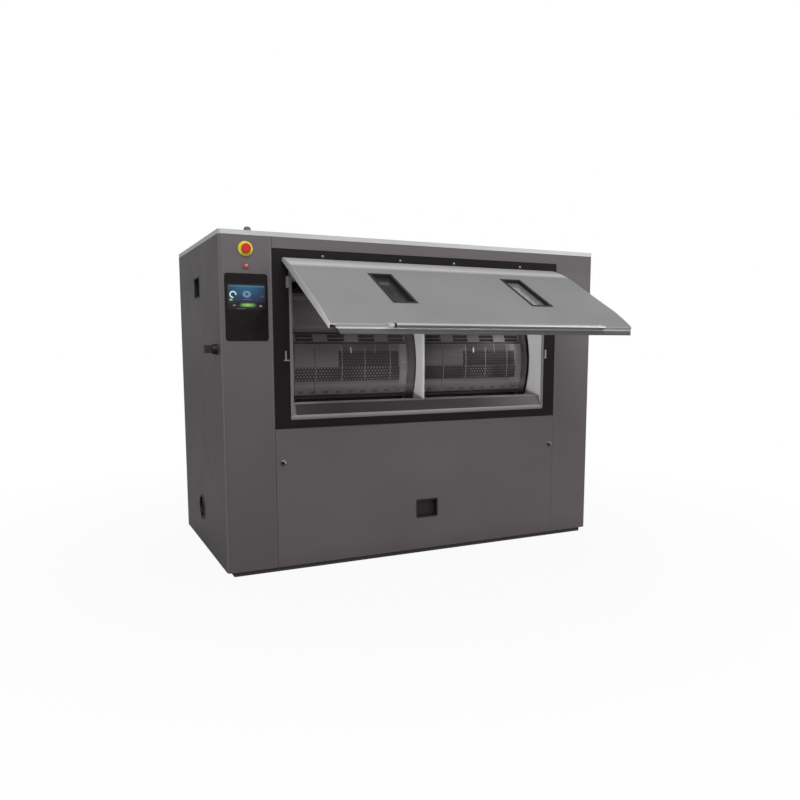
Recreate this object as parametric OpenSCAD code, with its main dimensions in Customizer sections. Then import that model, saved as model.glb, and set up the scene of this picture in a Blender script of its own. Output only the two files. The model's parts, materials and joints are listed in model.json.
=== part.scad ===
/* [Cabinet] */
// Width of the cabinet
cab_w = 2220; // [2120:1:2400]
// Depth of the cabinet, front to back
cab_d = 1170; // [1150:1:1300]
// Height of the cabinet to the top of the lid
cab_h = 1700; // [1680:1:1850]
// Height of the lid
lid_h = 22; // [12:1:32]
// Sheet thickness of panels, lid, doors and surround
sheet = 2; // [1.5:0.1:3]
// Depth of the folded edges of the panels
fold = 24; // [20:1:34]
// Radius of the upright corners of the cabinet
corner_r = 19; // [8:1:19]
// Gap between neighbouring panels
seam = 1; // [0.6:0.1:3]
// Width of the control column at the left of the front
col_w = 255.5; // [240:0.5:300]
// Height of the recessed plinth under the panels
plinth_h = 25; // [15:1:40]
// Set-back of the plinth at the two sides
plinth_side = 35; // [26:1:60]
// Set-back of the plinth at the front and the back
plinth_front = 15; // [8:1:40]

/* [Frame] */
// Height of the floor to the top of the base tubes
base_top = 100; // [80:1:140]
// Width of the square frame tubes
tube = 40; // [30:1:50]
// Wall of the frame tubes
tube_t = 3; // [2:0.5:5]
// Side of the square foot plates
foot_w = 120; // [90:1:160]
// Thickness of the foot plates
foot_t = 12; // [8:1:15]
// Radius of the floor bolt holes
foot_hole_r = 9; // [6:0.5:12]
// Width of the cross beams under the machine
beam_w = 60; // [50:1:65]

/* [Door surround] */
// Width of the surround
bay_w = 1700; // [1680:1:1740]
// Lower edge of the surround above the floor
bay_z0 = 736; // [700:1:760]
// Upper edge of the surround above the floor
bay_z1 = 1623; // [1612:1:1640]

/* [Loading opening] */
// Clear width of the opening
open_w = 1509; // [1500:1:1530]
// Height of the opening's floor above the floor
open_z0 = 858; // [850:1:870]
// Height of the opening's ceiling above the floor
open_z1 = 1500; // [1490:1:1510]
// Thickness of the opening's plates
plate = 3; // [2:0.5:4]
// Width of the lip round the opening
lip_w = 14; // [10:1:16]
// How far the lip stands in front of the surround
lip_t = 5; // [4:0.5:6]
// Set-back of the front edge of the opening's floor
floor_back = 19; // [12:1:40]
// Lower edge of the sill
sill_z0 = 780; // [770:1:785]
// Height of the upright strip at the foot of the sill
sill_strip = 20; // [10:1:22]
// Thickness of the sill's sheet
sill_t = 1.5; // [1:0.1:1.8]
// Thickness of the divider between the two loading mouths
divider_t = 15; // [10:1:20]
// Set-back of the divider's front edge
divider_back = 44; // [10:1:60]
// Radius of the curved inner edge of cheeks and divider
cheek_r = 466; // [464:1:475]

/* [Doors] */
// Width of a door
door_w = 1610; // [1590:1:1640]
// Distance of a door's hinge axis from the surround
hinge_out = 8; // [7.5:0.1:9]
// Height of a door's hinge axis
hinge_z = 1555; // [1550:1:1560]
// Angle between the open and the closed door
door_angle = 62.9; // [40:0.1:62.9]
// Distance of the door's flat face from the surround
door_out = 58; // [50:1:70]
// Distance of the door's back from the surround
door_back = 20; // [19:1:24]
// Upper edge of the door
door_z1 = 1553; // [1551:1:1555]
// Distance of the upper edge's face from the surround
door_top_out = 37; // [32:1:45]
// Height of the upper bend of the door
bend_z1 = 1426.7; // [1400:0.1:1450]
// Height of the lower bend of the door
bend_z0 = 925.8; // [900:0.1:950]
// Height of the lower front edge of the door
door_z0 = 804; // [802:1:808]
// Distance of the lower front edge from the surround
door_low_out = 44; // [40:1:48]
// Gap between the closed door's lower flange and the surround
flange_gap = 3; // [2.5:0.1:6]
// Drop of the lower flange from the front edge to its back edge
flange_drop = 15.5; // [10:0.5:18]
// Distance of each window's centre from the middle of the door
win_x = 378; // [300:1:420]
// Width of a window
win_w = 127; // [100:1:180]
// Height of a window
win_h = 341; // [250:1:380]
// Height of the windows' centres
win_z = 1167.2; // [1150:1:1190]
// Width of the flange of a window frame
win_rim = 14; // [10:1:18]
// Thickness of the window glass
glass_t = 6; // [4:1:10]
// Depth of the window glass below the door's flat face
glass_in = 15; // [4:1:24]
// Radius of the door handle's tube
bar_r = 9; // [7:0.5:11.5]
// Left end of the tube from the middle of the door
bar_x0 = -511; // [-560:0.5:-450]
// Right end of the tube from the middle of the door
bar_x1 = 622; // [560:0.5:660]
// Height of the tube's axis on the closed door
bar_z = 791; // [788:0.5:791]
// Distance of the tube's axis from the surround
bar_out = 45.1; // [44:0.1:48]
// Height to which the finger space is cut into the lower edge
finger_z = 822; // [816:1:835]
// Length of the collar at the tube's left end
collar_l = 10; // [6:1:20]
// Length of the bracket at the tube's left end
bracket_l = 26; // [20:1:60]
// Width of the door seal
seal_w = 10; // [8:1:10]
// Gap between the closed door's seal and the lip
seal_gap = 0.5; // [0.3:0.1:1]

/* [Hinges and catches] */
// Distance of the inner hinges from the middle of the door
hinge_x1 = 161.5; // [120:0.5:250]
// Distance of the outer hinges from the middle of the door
hinge_x2 = 591; // [500:0.5:700]
// Width of a hinge leaf
leaf_w = 28; // [20:1:40]
// Thickness of a hinge leaf
leaf_t = 4; // [3:0.5:5]
// Top of the hinge leaves
leaf_z1 = 1602; // [1590:1:1608]
// Outer radius of the hinge barrels
barrel_r = 6.5; // [5:0.1:6.8]
// Radius of the hinge pins
pin_r = 3.5; // [2.5:0.1:4]
// Length of each door knuckle
knuckle_l = 18; // [12:1:30]
// Radial play of pins and shafts in their bores
play = 0.05; // [0.02:0.01:0.09]
// Distance of the left catch from the lip
catch_x1 = 23.5; // [12:0.5:30]
// Distance of the right catch from the lip
catch_x2 = 9.5; // [9:0.5:30]
// Height of a catch
catch_h = 50; // [30:1:80]
// Height of the catches' centres
catch_z = 1101; // [1000:1:1200]
// Width of a catch's upright
catch_w = 6; // [4:0.5:10]
// Thickness of a catch's foot
catch_foot = 6; // [4:0.5:10]
// How far a catch stands out
catch_out = 13; // [8:1:14]

/* [Drum] */
// Height of the drum axis
drum_z = 1055; // [1050:1:1060]
// Outer radius of the drum
drum_r = 455; // [445:0.5:456]
// Thickness of the drum shell
shell_t = 3; // [2:0.5:4]
// Half length of the drum shell
drum_hl = 711.5; // [708:0.5:716]
// Width of the end rims
rim_w = 28; // [20:1:30]
// Outer radius of the end rims
rim_r = 462; // [459:0.5:463]
// Width of the middle band
band_w = 101; // [80:1:104]
// Outer radius of the middle band
band_r = 458; // [457:0.5:462]
// Inner end of the hatches from the middle of the drum
hatch_x0 = 57; // [54:1:80]
// Outer end of the hatches from the middle of the drum
hatch_x1 = 704; // [650:1:705]
// Angle of the hatches' lower edge above the horizontal
hatch_a0 = -21.3; // [-22.5:0.1:-18]
// Angle of the step in the lower flaps
step_a = 14; // [12:0.1:16]
// Angle of the lower edge of the upper flaps
meet_a = 21.3; // [20:0.1:24]
// Angle of the hatches' upper edge
hatch_a1 = 53; // [48:0.1:55]
// Depth of the recessed lip at the top of the lower flaps
lip_drop = 6; // [4:0.5:9]
// Gap between a flap and its neighbour
flap_gap = 2.5; // [1.5:0.1:4]
// Radius of the flaps' hinge knuckles
rod_r = 5; // [4.5:0.1:5]
// Radius of the flaps' hinge pins
rod_pin_r = 3; // [2:0.1:3]
// Distance of the turn levers from the flaps' middle
lever_x = -11; // [-100:1:100]
// Angle of the turn levers
lever_a = 9; // [5:0.5:10]
// Radius of the levers' shafts
lever_r = 4; // [3:0.1:5]
// Length of a turn lever
lever_l = 32; // [24:1:34]
// Depth of the lifting ribs
rib_h = 72; // [40:1:100]
// Radius of the drum shafts
shaft_r = 50; // [40:1:55]

/* [Tub and bearings] */
// Inner radius of the tub
tub_r = 490; // [486:1:496]
// Wall of the tub
tub_t = 4; // [3:0.5:5]
// Gap between the drum's rims and the tub's ends
tub_gap = 35.5; // [30:0.5:40]
// Thickness of the tub's end plates
end_t = 6; // [4:1:8]
// Radius of the shaft holes in the tub's ends
tub_hole_r = 60; // [58:1:80]
// Gap between the tub's ends and the bearing housings
brg_gap = 16; // [8:1:20]
// Width of a bearing housing
brg_w = 70; // [60:1:76]
// Outer radius of the bearings
brg_r = 80; // [70:1:85]
// Outer radius of the bearing housings
house_r = 105; // [95:1:115]
// Height of the housings' feet below the drum axis
house_drop = 110; // [106:1:125]
// Inner distance of a pedestal's legs from the middle
leg_y = 125; // [122:1:135]
// Thickness of a pedestal's legs
leg_t = 50; // [40:1:70]

/* [Drive] */
// Radius of the drum pulley
pulley_r = 250; // [200:1:300]
// Width of the pulleys
pulley_w = 60; // [40:1:70]
// Gap between the bearing housing and the pulley
pulley_gap = 38; // [20:1:45]
// Radius of the motor pulley
drive_r = 60; // [50:1:75]
// Thickness of the belt
belt_t = 8; // [5:1:12]
// Gap between the belt and the pulleys
belt_gap = 0.4; // [0.3:0.1:1]
// Height of the motor axis
motor_z = 300; // [280:1:330]
// Radius of the motor
motor_r = 115; // [100:1:118]
// Length of the motor
motor_l = 230; // [200:1:260]
// Radius of the motor shaft
motor_shaft_r = 19; // [14:0.5:24]

/* [Water and waste] */
// Distance of the waste pipe's axis from the machine's middle
waste_y = 55; // [45:1:70]
// Height of the waste pipe's axis
waste_z = 240; // [230:1:260]
// Radius of the waste pipe
waste_r = 37.5; // [30:0.5:40]
// Wall of the waste pipe
waste_t = 4; // [2:0.5:6]
// Radius of the waste pipe's socketed end
spigot_r = 40; // [38:0.5:45]
// Length of the waste pipe's socketed end
spigot_l = 60; // [40:1:80]
// Radius of the round ends of the side's pipe ring
ring_r = 70; // [66:1:80]
// Flat length between the ring's round ends
ring_flat = 10; // [0:1:30]
// Width of the ring's wall
ring_w = 12; // [8:1:14]
// Radius of the water inlets
inlet_r = 16.5; // [12:0.5:18]
// Distance between the water inlets
inlet_pitch = 40; // [38:1:45]
// Height of the water inlets
inlet_z = 1250; // [1200:1:1300]

/* [Controls] */
// Width of the operator panel
hmi_w = 209; // [180:1:225]
// Height of the operator panel
hmi_h = 321; // [280:1:340]
// Height of the operator panel's centre
hmi_z = 1335.6; // [1320:0.1:1345]
// Corner radius of the operator panel
hmi_r = 14; // [6:1:30]
// How far the operator panel stands out
hmi_out = 3; // [2:0.5:6]
// Width of the screen
screen_w = 181; // [140:1:190]
// Height of the screen
screen_h = 121; // [80:1:126]
// Height of the screen's centre
screen_z = 1386; // [1380:0.5:1400]
// Height of the emergency stop
stop_z = 1613; // [1605:1:1620]
// Radius of the emergency stop's ring
stop_ring_r = 35; // [30:0.5:40]
// Radius of the emergency stop's head
stop_r = 22.5; // [18:0.5:25]
// How far the emergency stop's head stands out
stop_out = 28; // [26:1:35]
// Height of the push button
btn_z = 1534; // [1525:1:1540]
// Radius of the push button's bezel
bezel_r = 18; // [16:0.5:22]
// Radius of the push button
btn_r = 12.5; // [10:0.5:14]
// Distance of the main switch from the machine's middle
switch_y = 487; // [450:1:500]
// Height of the main switch
switch_z = 1135; // [1050:1:1250]
// Radius of the main switch's base
switch_r = 26.5; // [22:0.5:32]
// How far the main switch stands out
switch_out = 62; // [45:1:70]

/* [Pulls and locks] */
// Width of the side pull
side_pull_w = 152; // [120:1:180]
// Height of the side pull
side_pull_h = 115; // [90:1:130]
// Height of the side pull's centre
side_pull_z = 1462.5; // [1440:0.5:1480]
// Width of the service panel's pull
low_pull_w = 134; // [110:1:160]
// Height of the service panel's pull
low_pull_h = 104; // [80:1:120]
// Height of the service pull's centre
low_pull_z = 253; // [240:1:280]
// Depth of the pulls
pull_d = 30; // [20:1:45]
// Height of the quarter-turn locks
lock_z = 563; // [500:1:600]
// Radius of the quarter-turn locks
lock_r = 14; // [10:0.5:16]
// Distance of the left lock from the service panel's edge
lock_x1 = 36; // [30:1:60]
// Distance of the right lock from the service panel's edge
lock_x2 = 25; // [22:1:60]

/* [Hidden] */
$fn = 64;
std_w = 2220;
std_d = 1170;
std_h = 1700;
wide = cab_w - std_w;
deep = cab_d - std_d;
rise = cab_h - std_h;
at_bay_z0 = bay_z0 + rise;
at_bay_z1 = bay_z1 + rise;
at_open_z0 = open_z0 + rise;
at_open_z1 = open_z1 + rise;
at_sill_z0 = sill_z0 + rise;
at_hinge_z = hinge_z + rise;
at_door_z1 = door_z1 + rise;
at_bend_z1 = bend_z1 + rise;
at_bend_z0 = bend_z0 + rise;
at_door_z0 = door_z0 + rise;
at_win_z = win_z + rise;
at_bar_z = bar_z + rise;
at_finger_z = finger_z + rise;
at_leaf_z1 = leaf_z1 + rise;
at_catch_z = catch_z + rise;
at_drum_z = drum_z + rise;
at_inlet_z = inlet_z + rise;
at_hmi_z = hmi_z + rise;
at_screen_z = screen_z + rise;
at_stop_z = stop_z + rise;
at_btn_z = btn_z + rise;
at_switch_z = switch_z + rise;
at_side_pull_z = side_pull_z + rise;
at_lock_z = lock_z + rise;
at_bay_w = bay_w + wide;
at_open_w = open_w + wide;
at_door_w = door_w + wide;
at_drum_hl = drum_hl + wide / 2;
at_hatch_x1 = hatch_x1 + wide / 2;
at_win_x = win_x + wide / 4;
at_hinge_x1 = hinge_x1 + wide / 8;
at_hinge_x2 = hinge_x2 + wide / 2;
at_bar_x1 = bar_x1 + wide / 2;
at_bar_x0 = bar_x0 - wide / 2;
at_switch_y = switch_y + deep / 2;
at_motor_z = motor_z + rise / 2;
xl = -cab_w / 2;
xr = cab_w / 2;
yf = -cab_d / 2;
lid_z = cab_h - lid_h;
frame_x = cab_w / 2 - fold;
frame_y = cab_d / 2 - fold;
frame_top = cab_h - sheet;
col_x1 = xl + col_w;
bay_x0 = col_x1 + seam;
bay_x1 = bay_x0 + at_bay_w;
mid = (bay_x0 + bay_x1) / 2;
post_x = frame_x - tube;
post_y = frame_y - tube;
foot_x = cab_w / 2 - plinth_side - sheet - foot_w / 2;
foot_y = cab_d / 2 - plinth_front - sheet - foot_w / 2;
half = at_open_w / 2;
out_half = half + plate;
lip_half = half + lip_w;
cut_gap = 1;
rear_split = at_open_z1 + plate + cut_gap;
seat = 0.3;
rim_end = at_drum_hl + rim_w;
tub_hl = rim_end + tub_gap;
tub_end = tub_hl + end_t;
brg_x = tub_end + brg_gap;
brg_mid = brg_x + brg_w / 2;
pulley_x = brg_x + brg_w + pulley_gap;
house_z = at_drum_z - house_drop;
top_plate = 20;
cradle_x = 520 + wide / 4;
cradle_y = 260;
beam_h = base_top - plinth_h;
bed_t = 12;
hub_r = 95;
hub_l = 25;
knuckle_r = drum_r - shell_t / 2 - rod_r + 1;
hatch_mid = (hatch_x0 + at_hatch_x1) / 2;
deg = 180 / (PI * drum_r);
gap_a = (rod_r + flap_gap) * deg;
joint_a = 0.6;
tab_w = 88;
tab_pitch = 178;
rib_t = 30;
lever_gap = 0.5;
lever_t = 6;
lever_w = 10;
sump_w = 300;
sump_y = 110;
sump_z = 500 + rise;
waste_x = mid - 100;
pipe_x = xl + 330;
valve_z0 = waste_z + (sump_z - waste_z) * 5 / 13;
valve_z1 = waste_z + (sump_z - waste_z) * 10 / 13;
valve_w = 120;
inlet_y = -400;
inlet_n = 3;
block_d = 45;
block_h = 80;
hmi_back = fold - seam;
hmi_body = 12;
glass_fit = 1;
stop_ring_t = 8;
stop_stem_r = 12;
stop_head_t = 14;
stop_travel = 5;
btn_travel = 3;
bezel_t = 4;
grip_w = 13;
switch_base_t = 12;
dot_r = 6;
pull_rim = 10;
pull_wall = 3;
sensor_h = 58;
sensor_w = 14;
sensor_z = 1463 + rise;
plug_r = 17.5;
plug_h = 25;
plug_side = 155;
plug_back = 60;
plug_x = xl + plug_side;
plug_y = yf + plug_back;
box_d = 150;
box_gap = 4;
box_z0 = 500;
box_z1 = 1100 + rise;
motor_gap = 80;
pin_l = 14;
bore_l = 16;
pin_in = at_drum_hl - at_hatch_x1 - 0.5;
flap_end = 1.5;
dots = [[-366, 1487 + rise], [389, 1481 + rise], [-351, 553 + rise], [425, 537 + rise]];

// Box between two corners
module box(x0, x1, y0, y1, z0, z1) {
    translate([x0, y0, z0]) cube([x1 - x0, y1 - y0, z1 - z0]);
}

// Outline drawn in Y and Z, carried along X
module along_x(x0, x1) {
    translate([x0, 0, 0]) rotate([90, 0, 90]) linear_extrude(x1 - x0) children();
}

// Outline drawn in X and Z, carried back along Y
module along_y(y0, y1) {
    translate([0, y1, 0]) rotate([90, 0, 0]) linear_extrude(y1 - y0) children();
}

// Round bar along X
module bar_x(r, x0, x1, y, z) {
    translate([x0, y, z]) rotate([0, 90, 0]) cylinder(h = x1 - x0, r = r);
}

// Round bar along Y
module bar_y(r, y0, y1, x, z) {
    translate([x, y1, z]) rotate([90, 0, 0]) cylinder(h = y1 - y0, r = r);
}

// Square tubes along each axis, open at the ends
module tube_x(x0, x1, y0, y1, z0, z1) {
    difference() {
        box(x0, x1, y0, y1, z0, z1);
        box(x0 - 1, x1 + 1, y0 + tube_t, y1 - tube_t, z0 + tube_t, z1 - tube_t);
    }
}
module tube_y(x0, x1, y0, y1, z0, z1) {
    difference() {
        box(x0, x1, y0, y1, z0, z1);
        box(x0 + tube_t, x1 - tube_t, y0 - 1, y1 + 1, z0 + tube_t, z1 - tube_t);
    }
}
module tube_z(x0, x1, y0, y1, z0, z1) {
    difference() {
        box(x0, x1, y0, y1, z0, z1);
        box(x0 + tube_t, x1 - tube_t, y0 + tube_t, y1 - tube_t, z0 - 1, z1 + 1);
    }
}

// Rectangle with rounded corners at the front left and the front right
module plan(x0, x1, y0, y1, rl, rr) {
    intersection() {
        translate([x0, y0]) square([x1 - x0, y1 - y0]);
        union() {
            translate([x0, y0 + max(rl, rr)]) square([x1 - x0, y1 - y0]);
            translate([x0 + rl, y0]) square([x1 - x0 - rl - rr, y1 - y0]);
            if (rl > 0) translate([x0 + rl, y0 + rl]) circle(rl);
            if (rr > 0) translate([x1 - rr, y0 + rr]) circle(rr);
        }
    }
}

// Rectangle with four rounded corners
module round_rect(w, h, r) {
    square([w - 2 * r, h], center = true);
    square([w, h - 2 * r], center = true);
    for (sx = [-1, 1], sy = [-1, 1]) translate([sx * (w / 2 - r), sy * (h / 2 - r)]) circle(r);
}

// Folded front panel with its edges turned back
module tray(x0, x1, z0, z1, rl = 0, rr = 0) {
    difference() {
        translate([0, 0, z0]) linear_extrude(z1 - z0) plan(x0, x1, yf, yf + fold, rl, rr);
        tray_core(x0, x1, z0, z1, rl, rr);
    }
}
module tray_core(x0, x1, z0, z1, rl = 0, rr = 0) {
    translate([0, 0, z0 + sheet]) linear_extrude(z1 - z0 - 2 * sheet)
        plan(x0 + sheet, x1 - sheet, yf + sheet, yf + fold + 1, max(rl - sheet, 0), max(rr - sheet, 0));
}

// Sector of a ring about the drum axis, angles up from the front
module sector(r0, r1, a0, a1, x0, x1) {
    am = (a0 + a1) / 2;
    far = 1.6 * r1;
    translate([0, 0, at_drum_z]) along_x(x0, x1) intersection() {
        difference() {
            circle(r1, $fn = 128);
            circle(r0, $fn = 128);
        }
        polygon([[0, 0], [-far * cos(a0), far * sin(a0)], [-far * cos(am), far * sin(am)],
            [-far * cos(a1), far * sin(a1)]]);
    }
}

// Place children at an angle on the drum, with their Z outward
module radial(a, x) {
    translate([x, 0, at_drum_z]) rotate([90 - a, 0, 0]) children();
}

// Ring along X about the drum axis
module ring(r0, r1, x0, x1) {
    difference() {
        bar_x(r1, x0, x1, 0, at_drum_z, $fn = 128);
        bar_x(r0, x0 - 1, x1 + 1, 0, at_drum_z, $fn = 128);
    }
}

module base_frame() {
    color("dimgray") {
        for (s = [-1, 1]) {
            tube_y(s > 0 ? post_x : -frame_x, s > 0 ? frame_x : -post_x, -frame_y, frame_y, plinth_h, base_top);
            tube_x(-post_x, post_x, s > 0 ? post_y : -frame_y, s > 0 ? frame_y : -post_y, plinth_h, base_top);
            tube_y(mid + s * cradle_x - beam_w / 2, mid + s * cradle_x + beam_w / 2, -post_y, post_y,
                plinth_h, base_top);
            tube_y(mid + s * brg_mid - brg_w / 2, mid + s * brg_mid + brg_w / 2, -post_y, post_y,
                plinth_h, base_top);
        }
        box(mid + cradle_x + beam_w / 2, mid + brg_x, -leg_y, leg_y, base_top - bed_t, base_top);
    }
}

// Skirt round the foot of the machine with the four floor plates
module plinth() {
    color("dimgray") {
        difference() {
            box(xl + plinth_side, xr - plinth_side, yf + plinth_front, -yf - plinth_front, 0, plinth_h);
            box(xl + plinth_side + sheet, xr - plinth_side - sheet, yf + plinth_front + sheet,
                -yf - plinth_front - sheet, -1, plinth_h + 1);
        }
        for (sx = [-1, 1], sy = [-1, 1]) difference() {
            box(sx * foot_x - foot_w / 2, sx * foot_x + foot_w / 2, sy * foot_y - foot_w / 2,
                sy * foot_y + foot_w / 2, 0, foot_t);
            translate([sx * foot_x, sy * foot_y, -1]) cylinder(h = foot_t + 2, r = foot_hole_r);
        }
    }
}

// Saddle that carries the tub
module cradle(x) {
    top = at_drum_z - sqrt(pow(tub_r + tub_t, 2) - pow(cradle_y, 2)) + 1;
    difference() {
        box(x - beam_w / 2, x + beam_w / 2, -cradle_y, cradle_y, base_top, top);
        bar_x(tub_r + tub_t + seat, x - beam_w, x + beam_w, 0, at_drum_z, $fn = 128);
        box(x - beam_w, x + beam_w, -cradle_y + beam_w, cradle_y - beam_w, base_top + 20, sump_z - 20);
    }
}
module tub_saddles() {
    color("slategray") for (s = [-1, 1]) cradle(mid + s * cradle_x);
}

module upright_frame() {
    color("slategray") for (m = [0, 1]) mirror([0, m, 0]) {
        for (s = [-1, 1]) {
            x0 = s > 0 ? post_x : -frame_x;
            x1 = s > 0 ? frame_x : -post_x;
            tube_z(x0, x1, -frame_y, -post_y, base_top, frame_top);
            tube_y(x0, x1, -post_y, 0, frame_top - tube, frame_top);
        }
        tube_x(-post_x, post_x, -frame_y, -post_y, frame_top - tube, frame_top);
    }
}

// Stiles and rails round the mouth, one set in front and one behind
module bay_frames() {
    color("slategray") for (m = [0, 1]) mirror([0, m, 0]) {
        for (x = [bay_x0 - seam / 2, bay_x1 + seam / 2])
            tube_z(x - tube / 2, x + tube / 2, -frame_y, -post_y, base_top, frame_top - tube);
        for (z = [at_bay_z0, at_bay_z1]) tube_x(bay_x0 + (tube - seam) / 2, bay_x1 - (tube - seam) / 2,
            -frame_y, -post_y, z - tube / 2, z + tube / 2);
    }
}

module bearing_pedestals() {
    color("slategray") for (s = [-1, 1]) {
        x0 = mid + s * brg_mid - brg_w / 2;
        x1 = x0 + brg_w;
        for (y = [-leg_y - leg_t, leg_y]) tube_z(x0, x1, y, y + leg_t, base_top, house_z - top_plate);
        box(x0, x1, -leg_y - leg_t, leg_y + leg_t, house_z - top_plate, house_z);
    }
}

// Saddles under the tub and pedestals under the bearings
module drum_supports() {
    tub_saddles();
    bearing_pedestals();
}

module control_column() {
    color("gray") difference() {
        tray(xl, col_x1, plinth_h, lid_z, corner_r, 0);
        along_y(yf - 1, yf + sheet + 1) translate([col_mid(), at_hmi_z])
            square([hmi_w - 2 * hmi_body + glass_fit, hmi_h - 2 * hmi_body + glass_fit], center = true);
        bar_y(stop_stem_r + 3, yf - 1, yf + sheet + 1, col_mid(), at_stop_z);
        bar_y(btn_r + 1, yf - 1, yf + sheet + 1, col_mid(), at_btn_z);
    }
}
function col_mid() = (xl + col_x1) / 2;

module front_panel() {
    color("gray") difference() {
        union() {
            tray(bay_x0, xr, at_bay_z1 + seam, lid_z, 0, corner_r);
            tray(bay_x1 + seam, xr, plinth_h, lid_z, 0, corner_r);
        }
        tray_core(bay_x0, xr, at_bay_z1 + seam, lid_z, 0, corner_r);
        tray_core(bay_x1 + seam, xr, plinth_h, lid_z, 0, corner_r);
    }
}

module service_panel() {
    color("gray") difference() {
        tray(bay_x0, bay_x1, plinth_h, at_bay_z0 - seam);
        along_y(yf - 1, yf + sheet + 1) translate([0, low_pull_z])
            square([low_pull_w - pull_rim, low_pull_h - pull_rim], center = true);
        for (x = [bay_x0 + lock_x1, bay_x1 - lock_x2])
            bar_y(lock_r - 4 + play, yf - 1, yf + sheet + 1, x, at_lock_z);
    }
}

module front_panels() {
    front_panel();
    service_panel();
}

// Folded side panel, drawn for the left
module side_tray() {
    y1 = -yf - fold - seam;
    difference() {
        box(xl, xl + fold, -y1, y1, plinth_h, lid_z);
        box(xl + sheet, xl + fold + 1, -y1 + sheet, y1 - sheet, plinth_h + sheet, lid_z - sheet);
    }
}

module left_side_panel() {
    color("dimgray") {
        difference() {
            side_tray();
            along_x(xl - 1, xl + sheet + 1) translate([0, at_side_pull_z])
                square([side_pull_w - pull_rim, side_pull_h - pull_rim], center = true);
            along_x(xl - 1, xl + sheet + 1) translate([waste_y, waste_z]) oval(ring_r - ring_w / 2);
            bar_x(switch_r / 2, xl - 1, xl + sheet + 1, -at_switch_y, at_switch_z);
        }
        for (p = dots) bar_x(dot_r, xl - 1.5, xl, p[0], p[1]);
    }
}

// Outline of the pipe ring
module oval(r) {
    square([ring_flat, 2 * r], center = true);
    for (s = [-1, 1]) translate([s * ring_flat / 2, 0]) circle(r);
}

module right_side_panel() {
    color("dimgray") difference() {
        mirror([1, 0, 0]) side_tray();
        for (i = [0 : inlet_n - 1]) bar_x(inlet_r + 3, xr - sheet - 1, xr + 1, inlet_pos(i), at_inlet_z);
    }
}
function inlet_pos(i) = -inlet_y + (i - (inlet_n - 1) / 2) * inlet_pitch;

module rear_panel() {
    color("gray") mirror([0, 1, 0]) difference() {
        tray(xl, xr, plinth_h, rear_split - seam, corner_r, corner_r);
        box(mid - out_half - cut_gap, mid + out_half + cut_gap, yf - 1, yf + fold + 1,
            at_sill_z0 + sill_strip - plate, rear_split);
    }
}
module rear_header() {
    color("gray") mirror([0, 1, 0]) tray(xl, xr, rear_split, lid_z, corner_r, corner_r);
}

module rear_panels() {
    rear_panel();
    rear_header();
}

// Cut for the loading mouth in a sheet
module mouth_cut() {
    box(mid - out_half - cut_gap, mid + out_half + cut_gap, yf - 1, yf + sheet + 1,
        at_sill_z0 + sill_strip - plate, at_open_z1 + plate + cut_gap);
}

module front_surround() {
    color([0.1, 0.1, 0.11]) difference() {
        tray(bay_x0, bay_x1, at_bay_z0, at_bay_z1);
        mouth_cut();
    }
}

module lid_plan(d) {
    translate([0, yf + d]) translate([0, (cab_d - 2 * d) / 2])
        round_rect(cab_w - 2 * d, cab_d - 2 * d, max(corner_r - d, 1));
}

module top_lid() {
    color("silver") difference() {
        translate([0, 0, lid_z]) linear_extrude(lid_h) lid_plan(0);
        translate([0, 0, lid_z + sheet]) linear_extrude(lid_h - 2 * sheet) lid_plan(sheet);
        translate([0, 0, lid_z - 1]) linear_extrude(sheet + 2) lid_plan(fold - sheet);
    }
}

module roof_plug() {
    soft = 12;
    color("dimgray") translate([plug_x, plug_y, cab_h]) rotate_extrude() intersection() {
        union() {
            square([plug_r, plug_h - soft]);
            square([plug_r - soft, plug_h]);
            translate([plug_r - soft, plug_h - soft]) circle(soft);
        }
        square([plug_r, plug_h]);
    }
}

// Loading mouth from the lip to the tub
module throat() {
    difference() {
        union() {
            for (s = [-1, 1]) {
                x0 = mid + (s > 0 ? half : -out_half);
                box(x0, x0 + plate, yf - lip_t, 0, at_open_z0 - plate, at_open_z1 + plate);
                box(x0, x0 + plate, yf - lip_t, yf + floor_back, at_sill_z0 + sill_strip, at_open_z0 - plate);
                box(mid + (s > 0 ? half : -lip_half), mid + (s > 0 ? lip_half : -half), yf - lip_t, yf,
                    at_sill_z0 + sill_strip, at_open_z1 + lip_w);
            }
            box(mid - lip_half, mid + lip_half, yf - lip_t, yf, at_open_z1, at_open_z1 + lip_w);
            mouth_plate(at_open_z1, at_open_z1 + plate, yf);
            mouth_plate(at_open_z0 - plate, at_open_z0, yf + floor_back);
            difference() {
                box(mid - divider_t / 2, mid + divider_t / 2, yf + divider_back, 0, at_open_z0, at_open_z1);
                box(mid - divider_t / 2 + sheet, mid + divider_t / 2 - sheet, yf + divider_back + sheet, 1,
                    at_open_z0 + sheet, at_open_z1 - sheet);
            }
        }
        bar_x(cheek_r, mid - at_open_w, mid + at_open_w, 0, at_drum_z, $fn = 128);
    }
}
module mouth_plate(z0, z1, y0) {
    difference() {
        box(mid - out_half, mid + out_half, y0, 0, z0, z1);
        bar_x(tub_r, mid - at_open_w, mid + at_open_w, 0, at_drum_z, $fn = 128);
    }
}

module front_throat() {
    color("lightgray") throat();
}

// Drip sill below the mouth
module sill() {
    z1 = at_sill_z0 + sill_strip;
    along_x(mid - half, mid + half) polygon([[yf - sill_t, z1], [yf + floor_back - sill_t - 1, at_open_z0],
        [yf + floor_back, at_open_z0], [yf + floor_back, at_open_z0 - 4], [yf, z1 - plate]]);
    box(mid - lip_half, mid + lip_half, yf - sill_t, yf, at_sill_z0, z1);
}

module front_sill() {
    color("silver") sill();
}

module rear_throat() {
    color("lightgray") mirror([0, 1, 0]) difference() {
        union() {
            throat();
            sill();
        }
        cheek_space();
    }
}
module rear_cheeks() {
    color("lightgray") mirror([0, 1, 0]) intersection() {
        throat();
        cheek_space();
    }
}

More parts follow.
